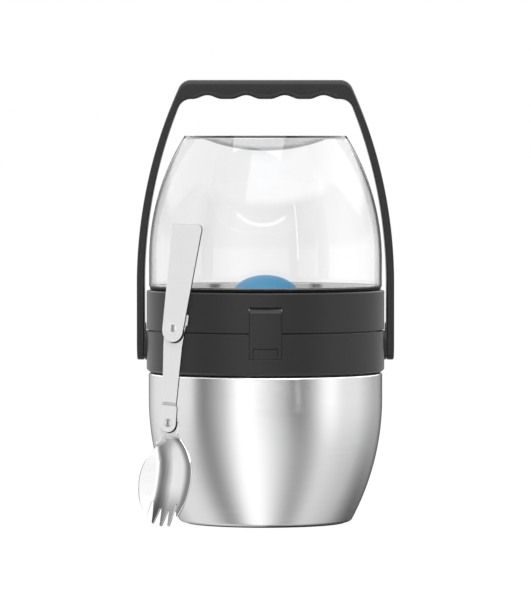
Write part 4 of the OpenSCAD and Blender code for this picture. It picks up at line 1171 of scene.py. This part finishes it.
arc_strip = add(tree, "Math", [add(tree, "MapRange", [off_arc, *ARC_EDGE, 1, 0], **SOFT),
                               add(tree, "MapRange", [arc_reach, *ARC_FADE, 1, 0], **SOFT)],
                operation="MULTIPLY")
beside_post = add(tree, "Math", [bearing, POST_AT], operation="SUBTRACT")
off_post = add(tree, "Math", [beside_post], operation="ABSOLUTE")
post_height = add(tree, "Math", [add(tree, "MapRange", [height, *POST_FOOT, 0, 1], **SOFT),
                                 add(tree, "MapRange", [height, *POST_HEAD, 1, 0], **SOFT)],
                  operation="MULTIPLY")
post_strip = add(tree, "Math", [add(tree, "MapRange", [off_post, *POST_EDGE, 1, 0], **SOFT),
                                post_height], operation="MULTIPLY")
strip = add(tree, "Math", [arc_strip, post_strip], operation="MAXIMUM")
strips = add(tree, "Mix", {0: strip, 6: room, 7: (1, 1, 1, 1)}, data_type="RGBA")

# %% What each kind of ray sees of the studio
FILL = 0.72
rays = add(tree, "LightPath")
seen = add(tree, "Math", [rays.outputs["Is Camera Ray"], rays.outputs["Is Transmission Ray"]],
           operation="MAXIMUM")
unseen = add(tree, "Math", [1.0, seen], operation="SUBTRACT")
glossy = add(tree, "Math", [rays.outputs["Is Glossy Ray"], unseen], operation="MULTIPLY")
light = add(tree, "Mix", {0: glossy, 6: (FILL, FILL, FILL, 1), 7: strips}, data_type="RGBA")
backdrop = add(tree, "Mix", {0: seen, 6: light, 7: (1, 1, 1, 1)}, data_type="RGBA")
level = add(tree, "MapRange", [glossy, 0, 1, 1.0, BRIGHTEST])
add(tree, "OutputWorld", {"Surface": add(tree, "Background", [backdrop, level])})
print("studio with", len(BELOW) + len(LEVEL) + len(ABOVE), "stops of brightness")

# %% Floor: pale paper that shows white and keeps the jar's shadow; through the bowl it has a painted shade near the jar
FLOOR_SIZE = 80
bpy.ops.mesh.primitive_plane_add(size=FLOOR_SIZE, location=(0, 0, 0))
floor = bpy.context.object
floor.name = "paper_floor"
paper = bpy.data.materials.new("pale paper")
paper.use_nodes = True
tree = paper.node_tree
tree.nodes.clear()
rays = add(tree, "LightPath")
seen = add(tree, "Math", [rays.outputs["Is Camera Ray"], rays.outputs["Is Transmission Ray"]],
           operation="MAXIMUM")
lit = add(tree, "BsdfDiffuse", {"Color": linear("#F0F0F0")})
faint = add(tree, "BsdfDiffuse", {"Color": linear("#6E6E6E")})
away = add(tree, "VectorMath", [add(tree, "TexCoord").outputs["Object"]], operation="LENGTH")
# Painted shade: seen through the clear bowl, the floor's glow drops to 0.25 near the jar.
near = add(tree, "MapRange", [away, 0.9, 1.9, 0.25, 0.9], **SOFT)
strength = add(tree, "MapRange", [rays.outputs["Is Transmission Ray"], 0, 1, 0.9, near])
glow = add(tree, "Emission", {"Color": (1, 1, 1, 1), "Strength": strength})
bright = add(tree, "AddShader", [faint, glow])
add(tree, "OutputMaterial", {"Surface": add(tree, "MixShader", [seen, lit, bright])})
floor.data.materials.append(paper)
floor.visible_glossy = False
print("floor", FLOOR_SIZE, "m wide")

# %% Lamp: one wide soft panel above, which looks at the middle of the jar
PANEL_AT, PANEL_SIZE, PANEL_WATTS, JAR_MIDDLE = (-0.1, -0.35, 1.7), (1.5, 1.2), 11, 0.1
light = bpy.data.lights.new("panel above", "AREA")
light.shape = "RECTANGLE"
light.size, light.size_y = PANEL_SIZE
light.energy = PANEL_WATTS
lamp = bpy.data.objects.new("panel above", light)
lamp.location = PANEL_AT
aim = np.array([0, 0, JAR_MIDDLE]) - np.array(PANEL_AT)
lamp.rotation_euler = (math.atan2(math.hypot(aim[0], aim[1]), -aim[2]), 0,
                       math.atan2(-aim[0], aim[1]))
bpy.context.scene.collection.objects.link(lamp)
print("lamp of", light.energy, "W")

# %% [markdown]
# ## The camera
#
# A long lens from 2.7 m away, just below the height of the bowl's top, tilted down
# by less than two degrees, so the jar's upright lines stay almost parallel.

# %% Camera
PIXELS_FOCAL, IMAGE_HEIGHT, SENSOR = 5200, 600, 36.0
DISTANCE, LENS_Z, TILT = 2.72, 0.1985, 1.729
camera_data = bpy.data.cameras.new("long lens")
camera_data.sensor_width = SENSOR
camera_data.lens = PIXELS_FOCAL * SENSOR / IMAGE_HEIGHT
camera_data.clip_end = 50
camera = bpy.data.objects.new("camera", camera_data)
camera.location = (0, -DISTANCE, LENS_Z)
camera.rotation_euler = (math.radians(90 - TILT), 0, 0)
bpy.context.scene.collection.objects.link(camera)
bpy.context.scene.camera = camera
bpy.context.scene.view_settings.view_transform = "Standard"
